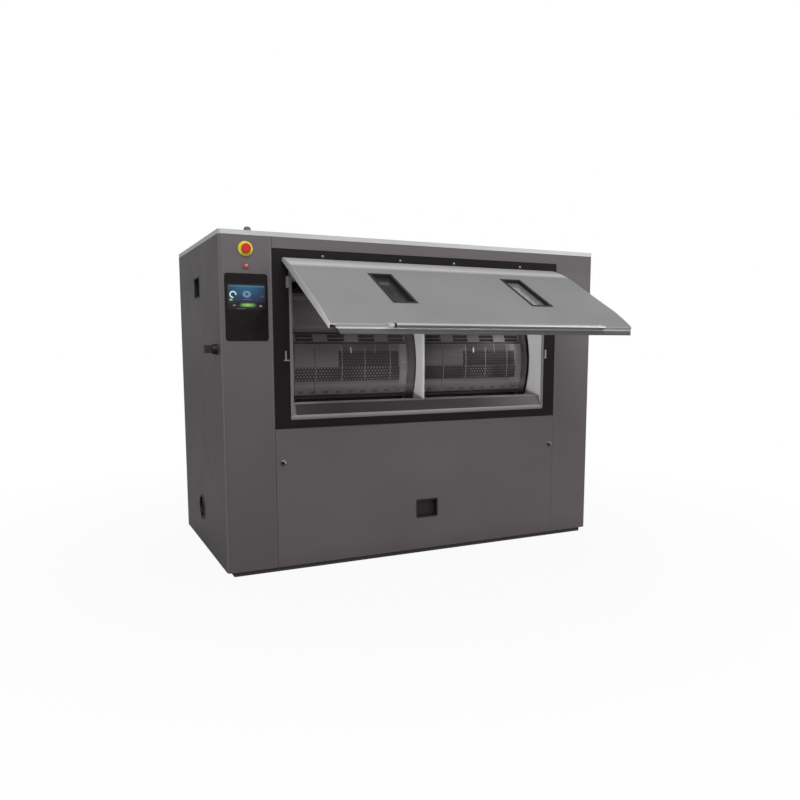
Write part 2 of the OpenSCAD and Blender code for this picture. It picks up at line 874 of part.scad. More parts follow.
// Room of the two side plates of the rear mouth
module cheek_space() {
    for (s = [-1, 1]) {
        x0 = mid + (s > 0 ? half : -out_half);
        box(x0, x0 + plate, yf - lip_t - 1, 1, at_sill_z0 + sill_strip, at_open_z1);
    }
}

// Fixed half of one hinge: leaf, barrel and pin
module hinge_leaf(x) {
    box(x - leaf_w / 2, x + leaf_w / 2, yf - leaf_t, yf, at_hinge_z - 15, at_leaf_z1);
    bar_x(barrel_r, x - leaf_w / 2, x + leaf_w / 2, yf - hinge_out, at_hinge_z);
    bar_x(pin_r, x - leaf_w / 2 - knuckle_l - 2, x + leaf_w / 2 + knuckle_l + 2, yf - hinge_out, at_hinge_z);
    box(x - leaf_w / 2, x + leaf_w / 2, yf - hinge_out, yf, at_hinge_z - 3, at_hinge_z + 3);
}
function hinge_places() = [mid - at_hinge_x2, mid - at_hinge_x1, mid + at_hinge_x1, mid + at_hinge_x2];

module door_hinges() {
    color("silver") for (m = [0, 1], x = hinge_places()) mirror([0, m, 0]) hinge_leaf(x);
}

// Catch with its foot on the inner side
module catch(x, s) {
    z0 = at_catch_z - catch_h / 2;
    box(x - catch_w / 2, x + catch_w / 2, yf - catch_out, yf, z0, z0 + catch_h);
    box(x - (s < 0 ? 9 : 8), x + (s < 0 ? 20 : 8), yf - 7, yf, z0, z0 + catch_foot);
}

module door_sensor() {
    along_y(yf - 8, yf) translate([mid - lip_half - 1 - sensor_w / 2, sensor_z])
        round_rect(sensor_w, sensor_h, sensor_w / 2 - 0.5);
}

// Catches at both doors, and the front door's sensor beside the left one
module door_catches() {
    color("silver") {
        for (m = [0, 1]) mirror([0, m, 0]) {
            catch(mid - lip_half - catch_x1, -1);
            catch(mid + lip_half + catch_x2, 1);
        }
        door_sensor();
    }
}

// Recessed pull with its rim, drawn on the front
module pull(w, h) {
    difference() {
        union() {
            along_y(yf - 1.5, yf) round_rect(w, h, 6);
            along_y(yf, yf + pull_d) square([w - pull_rim, h - pull_rim], center = true);
        }
        along_y(yf - 2, yf + pull_d - pull_wall)
            square([w - pull_rim - 2 * pull_wall, h - pull_rim - 2 * pull_wall], center = true);
    }
}

module flush_pulls() {
    color([0.08, 0.08, 0.09]) {
        translate([0, 0, low_pull_z]) pull(low_pull_w, low_pull_h);
        translate([xl, 0, at_side_pull_z]) rotate([0, 0, -90]) translate([0, -yf, 0])
            pull(side_pull_w, side_pull_h);
    }
}

module duct_ring() {
    color([0.08, 0.08, 0.09]) translate([0, waste_y, waste_z]) difference() {
        union() {
            along_x(xl - 4, xl) oval(ring_r);
            along_x(xl, xl + fold) oval(ring_r - ring_w / 2 - 0.5);
        }
        along_x(xl - 5, xl + fold + 1) oval(ring_r - ring_w);
    }
}

module switch_base() {
    color([0.12, 0.12, 0.12]) difference() {
        union() {
            bar_x(switch_r, xl - switch_base_t, xl, -at_switch_y, at_switch_z);
            bar_x(switch_r / 2 - 1, xl, xl + 50, -at_switch_y, at_switch_z);
        }
        bar_x(6 + play, xl - switch_base_t - 1, xl + 10, -at_switch_y, at_switch_z);
    }
}

module switch_knob() {
    y = -at_switch_y;
    color([0.08, 0.08, 0.08]) {
        bar_x(switch_r - 2, xl - switch_base_t - 13, xl - switch_base_t - 1, y, at_switch_z);
        box(xl - switch_out, xl - switch_base_t - 13, y - grip_w, y + grip_w, at_switch_z - switch_r + 7,
            at_switch_z + switch_r - 7);
        bar_x(6, xl - switch_base_t - 1, xl + 8, y, at_switch_z);
    }
}

module stop_base() {
    color("gold") difference() {
        union() {
            bar_y(stop_ring_r - 3, yf - stop_ring_t, yf, col_mid(), at_stop_z);
            bar_y(stop_ring_r, yf - stop_ring_t + 3, yf, col_mid(), at_stop_z);
            bar_y(stop_stem_r + 2.5, yf, yf + 45, col_mid(), at_stop_z);
        }
        bar_y(stop_stem_r - 2 + play, yf - stop_ring_t - 1, yf + 35, col_mid(), at_stop_z);
    }
}

module stop_head() {
    color("red") {
        bar_y(stop_r - 3, yf - stop_out, yf - stop_out + 3, col_mid(), at_stop_z);
        bar_y(stop_r, yf - stop_out + 3, yf - stop_out + stop_head_t, col_mid(), at_stop_z);
        bar_y(stop_stem_r - 2, yf - stop_out + stop_head_t, yf + 25, col_mid(), at_stop_z);
    }
}

module button_bezel() {
    color("silver") difference() {
        union() {
            bar_y(bezel_r, yf - bezel_t, yf, col_mid(), at_btn_z);
            bar_y(btn_r + 0.7, yf, yf + 30, col_mid(), at_btn_z);
        }
        bar_y(btn_r - 2 + play, yf - bezel_t - 1, yf + 20, col_mid(), at_btn_z);
        bar_y(btn_r + 0.3, yf - bezel_t - 1, yf - bezel_t + btn_travel, col_mid(), at_btn_z);
    }
}

module push_button() {
    color("tomato") {
        bar_y(btn_r, yf - bezel_t - btn_travel - 2, yf - bezel_t - btn_travel + 2, col_mid(), at_btn_z);
        bar_y(btn_r - 2, yf - bezel_t - btn_travel + 2, yf + 10, col_mid(), at_btn_z);
    }
}

module operator_panel() {
    color([0.03, 0.03, 0.04]) difference() {
        union() {
            along_y(yf - hmi_out, yf) translate([col_mid(), at_hmi_z]) round_rect(hmi_w, hmi_h, hmi_r);
            along_y(yf, yf + hmi_back) translate([col_mid(), at_hmi_z])
                square([hmi_w - 2 * hmi_body, hmi_h - 2 * hmi_body], center = true);
        }
        along_y(yf - hmi_out - 1, yf - hmi_out + 1) translate([col_mid(), at_screen_z])
            square([screen_w, screen_h], center = true);
    }
}

module operator_screen() {
    color("steelblue") along_y(yf - hmi_out, yf - hmi_out + 1) translate([col_mid(), at_screen_z])
        square([screen_w, screen_h], center = true);
}

module outer_tub() {
    color("silver") {
        difference() {
            union() {
                ring(tub_r, tub_r + tub_t, mid - tub_hl, mid + tub_hl);
                difference() {
                    box(mid - sump_w / 2, mid + sump_w / 2, -sump_y, sump_y, sump_z, at_drum_z - tub_r + 40);
                    bar_x(tub_r, mid - sump_w, mid + sump_w, 0, at_drum_z, $fn = 128);
                }
            }
            for (m = [0, 1]) mirror([0, m, 0]) box(mid - out_half - cut_gap, mid + out_half + cut_gap, yf, -100,
                at_open_z0 - plate - cut_gap, at_open_z1 + plate + cut_gap);
            box(mid - sump_w / 2 + tub_t, mid + sump_w / 2 - tub_t, -sump_y + tub_t, sump_y - tub_t,
                sump_z + tub_t, at_drum_z);
            translate([waste_x, waste_y, sump_z - 1]) cylinder(h = tub_t + 2, r = waste_r - waste_t);
        }
        for (s = [-1, 1]) ring(tub_hole_r, tub_r + tub_t, mid + s * tub_hl - (s < 0 ? end_t : 0),
            mid + s * tub_hl + (s > 0 ? end_t : 0));
    }
}

module bearing_housings() {
    color("darkslategray") for (s = [-1, 1]) {
        x0 = mid + s * brg_mid - brg_w / 2;
        difference() {
            union() {
                bar_x(house_r, x0, x0 + brg_w, 0, at_drum_z);
                box(x0, x0 + brg_w, -leg_y, leg_y, house_z, at_drum_z - house_r / 2);
            }
            bar_x(brg_r + play, x0 - 1, x0 + brg_w + 1, 0, at_drum_z);
        }
    }
}

module shaft_bearings() {
    color("silver") for (s = [-1, 1]) {
        x0 = mid + s * brg_mid - brg_w / 2;
        ring(shaft_r + play, brg_r, x0 + 5, x0 + brg_w - 5);
    }
}

module drain_valve() {
    color("dimgray") difference() {
        union() {
            translate([waste_x, waste_y, waste_z]) cylinder(h = sump_z - waste_z, r = waste_r);
            bar_x(waste_r, pipe_x, waste_x, waste_y, waste_z);
            translate([waste_x, waste_y, waste_z]) sphere(waste_r);
            box(waste_x - valve_w / 2, waste_x + valve_w / 2, waste_y - valve_w / 2, waste_y + valve_w / 2,
                valve_z0, valve_z1);
        }
        translate([waste_x, waste_y, waste_z]) cylinder(h = sump_z - waste_z + 1, r = waste_r - waste_t);
        bar_x(waste_r - waste_t, pipe_x - 1, waste_x, waste_y, waste_z);
    }
}

// Last length of the waste pipe with its spigot
module waste_pipe() {
    x1 = xl + sheet + 2;
    color("dimgray") difference() {
        union() {
            bar_x(waste_r, x1, pipe_x, waste_y, waste_z);
            bar_x(spigot_r, x1, x1 + spigot_l, waste_y, waste_z);
        }
        bar_x(waste_r - waste_t, x1 - 1, pipe_x + 1, waste_y, waste_z);
    }
}

module water_inlets() {
    x0 = frame_x - block_d;
    y = -inlet_y;
    w = inlet_n * inlet_pitch / 2 + 10;
    color("goldenrod") difference() {
        union() {
            box(x0, frame_x, y - w, post_y, at_inlet_z - block_h / 2, at_inlet_z + block_h / 2);
            for (i = [0 : inlet_n - 1]) bar_x(inlet_r, frame_x, xr - 1, inlet_pos(i), at_inlet_z);
            bar_x(20, mid + tub_end, x0, y, at_inlet_z);
        }
        for (i = [0 : inlet_n - 1]) bar_x(inlet_r - 5, frame_x - 20, xr, inlet_pos(i), at_inlet_z);
    }
}

module electrical_box() {
    x0 = -post_x;
    x1 = bay_x0 - seam / 2 - tube / 2;
    color("beige") box(x0, x1, -frame_y + box_gap, -frame_y + box_gap + box_d, box_z0, box_z1);
}

module motor() {
    x0 = mid + cradle_x + motor_gap;
    color("steelblue") difference() {
        union() {
            bar_x(motor_r, x0, x0 + motor_l, 0, at_motor_z);
            box(x0 + 20, x0 + 160, -90, 90, base_top, at_motor_z - motor_r / 2);
        }
        bar_x(motor_shaft_r + play, x0 + motor_l - 40, x0 + motor_l + 1, 0, at_motor_z);
    }
}

module motor_pulley() {
    x0 = mid + cradle_x + motor_gap + motor_l;
    color("dimgray") {
        bar_x(motor_shaft_r, x0 - 35, mid + pulley_x + pulley_w, 0, at_motor_z);
        bar_x(drive_r, mid + pulley_x, mid + pulley_x + pulley_w, 0, at_motor_z);
        bar_x(drive_r + 12, mid + pulley_x - 3, mid + pulley_x, 0, at_motor_z);
        bar_x(drive_r + 12, mid + pulley_x + pulley_w, mid + pulley_x + pulley_w + 3, 0, at_motor_z);
    }
}

module drive_belt() {
    color("black") along_x(mid + pulley_x + 5, mid + pulley_x + pulley_w - 5) difference() {
        hull() {
            translate([0, at_drum_z]) circle(pulley_r + belt_gap + belt_t);
            translate([0, at_motor_z]) circle(drive_r + belt_gap + belt_t);
        }
        hull() {
            translate([0, at_drum_z]) circle(pulley_r + belt_gap);
            translate([0, at_motor_z]) circle(drive_r + belt_gap);
        }
    }
}

module drum_pulley() {
    x0 = mid + pulley_x;
    color("dimgray") difference() {
        union() {
            ring(pulley_r - 25, pulley_r, x0, x0 + pulley_w);
            bar_x(pulley_r - 20, x0 + 20, x0 + 40, 0, at_drum_z);
            bar_x(hub_r, x0, x0 + pulley_w, 0, at_drum_z);
        }
        bar_x(shaft_r, x0 - 1, x0 + pulley_w + 1, 0, at_drum_z);
        for (a = [0 : 60 : 300]) bar_x(45, x0, x0 + pulley_w, 158 * cos(a), at_drum_z + 158 * sin(a));
    }
}

// Lock with a slotted face and a cam behind the panel
module lock(x) {
    color("silver") {
        difference() {
            bar_y(lock_r, yf - 3, yf - seat, x, at_lock_z);
            box(x - 1.5, x + 1.5, yf - 4, yf - 1.5, at_lock_z - lock_r + 5, at_lock_z + lock_r - 5);
        }
        bar_y(lock_r - 4, yf - seat, yf + 12, x, at_lock_z);
        box(x - 6, x + 6, yf + 12, yf + 15, at_lock_z - 8, at_lock_z + 18);
    }
}

module lock_left() {
    lock(bay_x0 + lock_x1);
}
module lock_right() {
    lock(bay_x1 - lock_x2);
}

// Outline of the closed door, seen from its left end
function door_shape(t) = [[yf - door_back, at_door_z1 - t], [yf - door_top_out + t, at_door_z1 - t],
    [yf - door_out + t, at_bend_z1], [yf - door_out + t, at_bend_z0], [yf - door_low_out + t, at_door_z0 + t],
    [yf - door_back - 4, at_door_z0 + t - 3], [yf - flange_gap, at_door_z0 - flange_drop + t]];

// Finger space behind the handle tube
function finger_line() = [[yf - door_low_out - 3, at_finger_z], [yf - door_back - 4, at_door_z0 - 3]];

module door_skin() {
    f = finger_line();
    difference() {
        along_x(mid - at_door_w / 2, mid + at_door_w / 2) polygon(concat(door_shape(0),
            [[yf - flange_gap, at_door_z0 - flange_drop + sheet], [yf - door_back, at_door_z0 - 3.3]]));
        difference() {
            along_x(mid - at_door_w / 2 + sheet, mid + at_door_w / 2 - sheet) polygon(concat(door_shape(sheet),
                [[yf - flange_gap, at_door_z1 - sheet]]));
            along_x(mid + at_bar_x0 - 7, mid + at_bar_x1 + 2) polygon([f[0], f[0] + [sheet + 1, 0],
                f[1] + [sheet + 1, 3], f[1], f[1] - [0, 30], [f[0][0], f[1][1] - 30]]);
        }
        along_x(mid + at_bar_x0 - 7, mid + at_bar_x1 + 2) polygon([f[0] - [30, 0], f[0], f[1], f[1] - [0, 40],
            [f[0][0] - 30, f[1][1] - 40]]);
        window_cut();
        linear_extrude(at_door_z0 - 0.5) polygon([[mid - at_door_w / 2 - 1, yf - 70],
            [mid - at_door_w / 2 - 1, yf + 1], [mid - at_door_w / 2 + 52, yf + 1],
            [mid - at_door_w / 2 + 15, yf - door_low_out]]);
    }
}

// Holes for the window frames
module window_cut() {
    for (s = [-1, 1]) box(mid + s * at_win_x - win_w / 2 + 4, mid + s * at_win_x + win_w / 2 - 4, yf - door_out - 1,
        yf - door_back + sheet + 1, at_win_z - win_h / 2 + 4, at_win_z + win_h / 2 - 4);
}

// Inner sheet of the door with its hinge knuckles
module door_liner() {
    y0 = yf - door_back;
    difference() {
        box(mid - at_door_w / 2, mid + at_door_w / 2, y0, y0 + sheet, at_door_z0 + 8, at_door_z1);
        window_cut();
    }
    for (x = hinge_places(), s = [-1, 1]) {
        x0 = s > 0 ? x + leaf_w / 2 + 1 : x - leaf_w / 2 - 1 - knuckle_l;
        difference() {
            union() {
                bar_x(barrel_r, x0, x0 + knuckle_l, yf - hinge_out, at_hinge_z);
                box(x0, x0 + knuckle_l, y0 + sheet, yf - hinge_out, at_hinge_z - 9, at_hinge_z + 3);
                box(x0, x0 + knuckle_l, y0 + sheet, y0 + sheet + 3, at_hinge_z - 40, at_hinge_z - 9);
            }
            bar_x(pin_r + play, x0 - 1, x0 + knuckle_l + 1, yf - hinge_out, at_hinge_z);
        }
    }
}

module window_frames() {
    for (s = [-1, 1]) difference() {
        union() {
            box(mid + s * at_win_x - win_w / 2, mid + s * at_win_x + win_w / 2, yf - door_out - 1.5, yf - door_out,
                at_win_z - win_h / 2, at_win_z + win_h / 2);
            box(mid + s * at_win_x - win_w / 2 + 4, mid + s * at_win_x + win_w / 2 - 4, yf - door_out,
                yf - door_back + sheet, at_win_z - win_h / 2 + 4, at_win_z + win_h / 2 - 4);
        }
        box(mid + s * at_win_x - win_w / 2 + win_rim, mid + s * at_win_x + win_w / 2 - win_rim, yf - door_out - 2,
            yf, at_win_z - win_h / 2 + win_rim, at_win_z + win_h / 2 - win_rim);
    }
}

module window_glass() {
    y0 = yf - door_out + glass_in;
    for (s = [-1, 1]) box(mid + s * at_win_x - win_w / 2 + win_rim, mid + s * at_win_x + win_w / 2 - win_rim,
        y0, y0 + glass_t, at_win_z - win_h / 2 + win_rim, at_win_z + win_h / 2 - win_rim);
}

// Handle tube with its collar, bracket and right-hand post
module door_handle() {
    y = yf - bar_out;
    x0 = mid + at_bar_x0;
    f = finger_line();
    bar_x(bar_r, x0, mid + at_bar_x1, y, at_bar_z);
    bar_x(bar_r + 1.5, x0 - collar_l, x0, y, at_bar_z);
    bar_x(bar_r + 0.5, x0 - collar_l - bracket_l, x0 - collar_l, y, at_bar_z);
    along_x(x0 - collar_l - bracket_l, x0 - collar_l) polygon([[y - 4, at_bar_z],
        [yf - door_low_out, at_door_z0 - 0.2], [yf - door_low_out + 8, at_door_z0 - 1.4],
        [yf - door_low_out + 8, at_bar_z]]);
    along_x(mid + at_bar_x1 - 20, mid + at_bar_x1) polygon([[y, at_bar_z], f[0] + [0.5, -0.9],
        (f[0] + f[1]) / 2 - [0.2, 0.2], [y + 9, at_bar_z]]);
}

module door_seal() {
    y0 = yf - door_back + sheet;
    y1 = yf - lip_t - seal_gap;
    a = half + (lip_w - seal_w) / 2;
    difference() {
        box(mid - a - seal_w, mid + a + seal_w, y0, y1, at_door_z0 + 10, at_open_z1 + (lip_w + seal_w) / 2);
        box(mid - a, mid + a, y0 - 1, y1 + 1, at_door_z0 + 10 + seal_w, at_open_z1 + (lip_w - seal_w) / 2);
    }
}

// Swing the front door open about its hinge
module opened() {
    translate([0, yf - hinge_out, at_hinge_z]) rotate([-door_angle, 0, 0])
        translate([0, -(yf - hinge_out), -at_hinge_z]) children();
}

module front_door_skin() {
    color("gray") opened() door_skin();
}
module front_door_liner() {
    color("lightgray") opened() door_liner();
}
module front_window_frames() {
    color([0.1, 0.1, 0.1]) opened() window_frames();
}
module front_window_glass() {
    color([0.7, 0.8, 0.85, 0.5]) opened() window_glass();
}
module front_door_handle() {
    color("silver") opened() door_handle();
}
module front_door_seal() {
    color([0.15, 0.15, 0.15]) opened() door_seal();
}
module front_door_gaskets() {
    front_window_frames();
    front_door_seal();
}
module rear_door_skin() {
    color("gray") mirror([0, 1, 0]) door_skin();
}
module rear_door_liner() {
    color("lightgray") mirror([0, 1, 0]) door_liner();
}
module rear_window_glass() {
    color([0.2, 0.22, 0.24, 0.6]) mirror([0, 1, 0]) {
        window_frames();
        window_glass();
    }
}
module rear_door_handle() {
    color("silver") mirror([0, 1, 0]) door_handle();
}
module rear_door_seal() {
    color([0.15, 0.15, 0.15]) mirror([0, 1, 0]) door_seal();
}

// Bar on a flap's hinge axis
module hinge_rod(r, a, x0, x1) {
    bar_x(r, x0, x1, -knuckle_r * cos(a), at_drum_z + knuckle_r * sin(a));
}

module drum_shell() {
    color("gainsboro") {
        difference() {
            ring(drum_r - shell_t, drum_r, mid - at_drum_hl, mid + at_drum_hl);
            for (s = [-1, 1]) {
                x0 = mid + (s > 0 ? hatch_x0 : -at_hatch_x1);
                sector(drum_r - 30, drum_r + 10, hatch_a0 - gap_a, hatch_a1 + gap_a,
                    x0, x0 + at_hatch_x1 - hatch_x0);
            }
        }
        for (s = [-1, 1], a = [hatch_a0, hatch_a1], e = [[hatch_x0 - pin_in, hatch_x0 + pin_l],
            [at_hatch_x1 - pin_l, at_hatch_x1 + pin_in]])
            hinge_rod(rod_pin_r, a, mid + min(s * e[0], s * e[1]), mid + max(s * e[0], s * e[1]));
        for (s = [-1, 1], a = [110, 190, 270]) intersection() {
            x0 = mid + (s > 0 ? hatch_x0 : -at_hatch_x1);
            radial(a, x0) rib(at_hatch_x1 - hatch_x0);
            bar_x(drum_r - shell_t / 2, x0, x0 + at_hatch_x1 - hatch_x0, 0, at_drum_z, $fn = 128);
        }
    }
}

// Lifting rib folded from sheet
module rib(l) {
    difference() {
        translate([0, -rib_t / 2, drum_r - rib_h]) cube([l, rib_t, rib_h]);
        translate([sheet, sheet - rib_t / 2, drum_r - rib_h + sheet])
            cube([l - 2 * sheet, rib_t - 2 * sheet, rib_h - sheet - shell_t]);
    }
}

module drum_ends() {
    color("lightgray") for (s = [-1, 1]) {
        m = s < 0 ? 1 : 0;
        translate([mid, 0, 0]) mirror([m, 0, 0]) {
            ring(rim_r - 16, rim_r, at_drum_hl, rim_end);
            ring(0.5, rim_r - 15, at_drum_hl, at_drum_hl + 8);
            bar_x(hub_r, at_drum_hl, at_drum_hl + hub_l, 0, at_drum_z);
            bar_x(shaft_r, at_drum_hl, s > 0 ? pulley_x + pulley_w + 5 : brg_x + brg_w + 5, 0, at_drum_z);
        }
    }
}

module drum_partition() {
    color("lightgray") {
        for (s = [-1, 1])
            bar_x(drum_r - shell_t, mid + s * 40 - 1.5, mid + s * 40 + 1.5, 0, at_drum_z, $fn = 128);
        bar_x(60, mid - 40, mid + 40, 0, at_drum_z);
    }
}

module drum_band() {
    color("gainsboro") ring(drum_r, band_r, mid - band_w / 2, mid + band_w / 2);
}

// What closes the drum at its ends and in the middle
module drum_walls() {
    drum_ends();
    drum_partition();
    drum_band();
}

// Lower flap: skin, recessed lip with tabs, hinge knuckle
module lower_flap(m) {
    x0 = m - (at_hatch_x1 - hatch_x0) / 2 + flap_end;
    x1 = m + (at_hatch_x1 - hatch_x0) / 2 - flap_end;
    r1 = drum_r - lip_drop;
    difference() {
        union() {
            sector(drum_r - shell_t, drum_r, hatch_a0, step_a, x0, x1);
            sector(r1 - shell_t, drum_r, step_a - 0.4, step_a, x0, x1);
            sector(r1 - shell_t, r1, step_a - 0.4, meet_a - joint_a, x0, x1);
            for (i = [-1 : 1]) sector(r1 - 1, drum_r - 1, step_a + 0.9, meet_a - joint_a - 0.3,
                m + i * tab_pitch - 10 - tab_w / 2, m + i * tab_pitch - 10 + tab_w / 2);
            hinge_rod(rod_r, hatch_a0, x0, x1);
        }
        hinge_rod(rod_pin_r + play, hatch_a0, x0 - 1, x0 + bore_l);
        hinge_rod(rod_pin_r + play, hatch_a0, x1 - bore_l, x1 + 1);
        radial(lever_a, m + lever_x) cylinder(h = drum_r + 10, r = lever_r + play);
    }
}

module upper_flap(m) {
    x0 = m - (at_hatch_x1 - hatch_x0) / 2 + flap_end;
    x1 = m + (at_hatch_x1 - hatch_x0) / 2 - flap_end;
    difference() {
        union() {
            sector(drum_r - shell_t, drum_r, meet_a, hatch_a1, x0, x1);
            hinge_rod(rod_r, hatch_a1, x0, x1);
        }
        hinge_rod(rod_pin_r + play, hatch_a1, x0 - 1, x0 + bore_l);
        hinge_rod(rod_pin_r + play, hatch_a1, x1 - bore_l, x1 + 1);
    }
}

// Turn lever with its shaft through the flap
module lever(m) {
    h = drum_r + lever_gap;
    color("silver") radial(lever_a, m + lever_x) {
        translate([0, 0, drum_r - shell_t - 6]) cylinder(h = shell_t + 7, r = lever_r);
        translate([0, 0, drum_r - shell_t - 9]) cylinder(h = 6, r = lever_r + 4);
        translate([0, 0, h]) linear_extrude(lever_t) round_rect(lever_w, lever_l, lever_w / 2 - 0.1);
    }
}

module lower_flap_left() {
    color("gainsboro") lower_flap(mid - hatch_mid);
}
module lower_flap_right() {
    color("gainsboro") lower_flap(mid + hatch_mid);
}
module upper_flap_left() {
    color("gainsboro") upper_flap(mid - hatch_mid);
}
module upper_flap_right() {
    color("gainsboro") upper_flap(mid + hatch_mid);
}
module lever_left() {
    lever(mid - hatch_mid);
}
module lever_right() {
    lever(mid + hatch_mid);
}

base_frame();
plinth();
upright_frame();
bay_frames();
drum_supports();
control_column();
front_panels();
left_side_panel();
right_side_panel();
rear_panels();
top_lid();
roof_plug();
front_surround();
front_throat();
front_sill();
rear_throat();
rear_cheeks();
door_hinges();
door_catches();
flush_pulls();
duct_ring();
switch_base();
stop_base();
button_bezel();
operator_panel();
operator_screen();
outer_tub();
bearing_housings();
shaft_bearings();
drain_valve();
waste_pipe();
water_inlets();
electrical_box();
motor();
drive_belt();
switch_knob();
stop_head();
push_button();
lock_left();
lock_right();
front_door_skin();
front_door_liner();
front_window_glass();
front_door_handle();
front_door_gaskets();
rear_door_skin();
rear_door_liner();
rear_window_glass();
rear_door_handle();
rear_door_seal();
drum_shell();
drum_walls();
drum_pulley();
motor_pulley();
lower_flap_left();
lower_flap_right();
upper_flap_left();
upper_flap_right();
lever_left();
lever_right();
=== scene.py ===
# Barrier washer: finishes, bent door sheets, screws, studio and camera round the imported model
import json
import math
import bmesh
import bpy
from mathutils import Matrix, Vector


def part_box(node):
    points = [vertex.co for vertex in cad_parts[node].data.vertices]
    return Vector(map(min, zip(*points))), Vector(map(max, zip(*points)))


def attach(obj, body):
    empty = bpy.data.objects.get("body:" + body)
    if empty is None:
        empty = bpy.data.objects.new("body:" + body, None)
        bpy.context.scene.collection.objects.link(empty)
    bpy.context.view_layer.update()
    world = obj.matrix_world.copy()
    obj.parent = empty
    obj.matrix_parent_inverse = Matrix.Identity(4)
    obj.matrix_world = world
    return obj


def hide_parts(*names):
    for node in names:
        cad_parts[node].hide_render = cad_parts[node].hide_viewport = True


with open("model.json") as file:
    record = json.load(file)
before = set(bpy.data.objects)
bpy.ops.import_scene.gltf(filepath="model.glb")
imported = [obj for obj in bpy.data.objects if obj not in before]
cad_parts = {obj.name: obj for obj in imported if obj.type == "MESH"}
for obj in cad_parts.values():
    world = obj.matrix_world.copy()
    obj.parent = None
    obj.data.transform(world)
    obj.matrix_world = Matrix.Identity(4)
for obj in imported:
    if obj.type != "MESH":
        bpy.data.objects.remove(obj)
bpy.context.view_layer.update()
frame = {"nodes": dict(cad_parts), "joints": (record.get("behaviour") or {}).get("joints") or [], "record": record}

nodes = frame["nodes"]
scene = bpy.context.scene
joints = {joint["name"]: joint for joint in frame["joints"]}

# Places from the frame, in metres: middle of the loading bay, hinge line and swing of the open front door,
# axis and radius of the drum
MID, HINGE_Y, HINGE_Z = joints["front_door_hinge"]["pos_m"]
HINGE = Vector((0.0, HINGE_Y, HINGE_Z))
OPEN_ANGLE = joints["front_door_hinge"]["range_deg"][1]
SWING = Matrix.Rotation(math.radians(-OPEN_ANGLE), 4, "X")
AXIS_Z = joints["drum_spin"]["pos_m"][2]
DRUM_R = round(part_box("drum_shell")[1].y, 3)

# The cabinet's front face, its left face and the control column's right edge
FRONT = round(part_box("front_surround")[0].y, 4)
LEFT, COLUMN_EDGE = (round(corner.x, 4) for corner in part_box("control_column"))

# Both doors, from the shut rear one: their ends, how far out the sheet's face lies, height of its top
door_low, door_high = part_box("rear_door_skin")
DOOR_LEFT, DOOR_RIGHT = round(door_low.x, 4), round(door_high.x, 4)
SHEET_FACE, SHEET_TOP = round(door_high.y + FRONT, 4), round(door_high.z, 4)

# Door windows: half width of the opening, how far the pane reaches past it sideways and up, its black rim
WINDOW_HALF = 0.0595
PANE_PAST_X, PANE_PAST_Z = 0.004, 0.002
PANE_RIM = 0.0145
# Distance of the windows from the middle, and heights of their lower and upper edge
pane_low, pane_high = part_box("rear_window_glass")
WINDOW_X = round((pane_high.x - pane_low.x) / 2 - PANE_PAST_X - WINDOW_HALF, 4)
WINDOW_Z = (round(pane_low.z + PANE_PAST_Z, 4), round(pane_high.z - PANE_PAST_Z, 4))

# Handles: the tube's axis when the door is shut, out from the surround and up, and its radius
HANDLE_OUT, HANDLE_Z, HANDLE_R = 0.0451, 0.791, 0.009
# Finger space behind the handle, and the black collar near the tube's left end
FINGER = (MID - 0.518, MID + 0.624)
COLLAR = (-0.5211, -0.5109)

# Door sheet, shut: how far out its back lies, heights of its upper and lower bend, foot of its lower slope
# and fold of its lip as (out, height), thickness
SHEET_BACK = 0.020
UPPER_BEND, LOWER_BEND = 1.4267, 0.9258
SLOPE_FOOT = (0.0461, 0.822)
LIP_FOLD = (0.024, 0.801)
SHEET_T = 0.0018

# The photo's camera, solved from the cabinet's edges: lens and centre in pixels, place, tilt and turn
PHOTO_SIDE = 800
LENS_PIXELS = 740.228
CENTRE_PIXELS = (409.72, 433.93)
CAMERA_PLACE = (-1.8551, -4.1858, 1.1619)
CAMERA_TILT, CAMERA_TURN = -0.1214, -0.4518
SENSOR_WIDTH = 36.0

# Radius of the rolled sheet edges of each cabinet piece
ROLLED = {
    "control_column": 0.0022,
    "front_panels": 0.0012,
    "left_side_panel": 0.0012,
    "right_side_panel": 0.0012,
    "rear_panels": 0.0012,
    "top_lid": 0.0014,
    "front_surround": 0.0009,
}

# Stretch of a noise that turns it into hair lines along one axis
HAIR = {"x": (1.5, 260, 260), "y": (260, 1.5, 260), "z": (260, 260, 1.5)}


def srgb(r, g, b):
    """Linear colour from 0-255 screen values."""
    out = []
    for c in (r, g, b):
        c /= 255.0
        out.append(c / 12.92 if c <= 0.04045 else ((c + 0.055) / 1.055) ** 2.4)
    return tuple(out) + (1.0,)


def scaled(colour, k):
    """The same colour, k times as bright."""
    return tuple(min(1.0, c * k) for c in colour[:3]) + (1.0,)


# Camera


def make_camera():
    data = bpy.data.cameras.new("photo_camera")
    data.sensor_fit = "HORIZONTAL"
    data.sensor_width = SENSOR_WIDTH
    data.lens = LENS_PIXELS / PHOTO_SIDE * SENSOR_WIDTH
    data.shift_x = -(CENTRE_PIXELS[0] - PHOTO_SIDE / 2) / PHOTO_SIDE
    data.shift_y = (CENTRE_PIXELS[1] - PHOTO_SIDE / 2) / PHOTO_SIDE
    data.clip_start, data.clip_end = 0.05, 100
    obj = bpy.data.objects.new("photo_camera", data)
    scene.collection.objects.link(obj)
    obj.location = CAMERA_PLACE
    obj.rotation_mode = "XYZ"
    obj.rotation_euler = (math.pi / 2 + CAMERA_TILT, 0, CAMERA_TURN)
    scene.camera = obj


# Materials


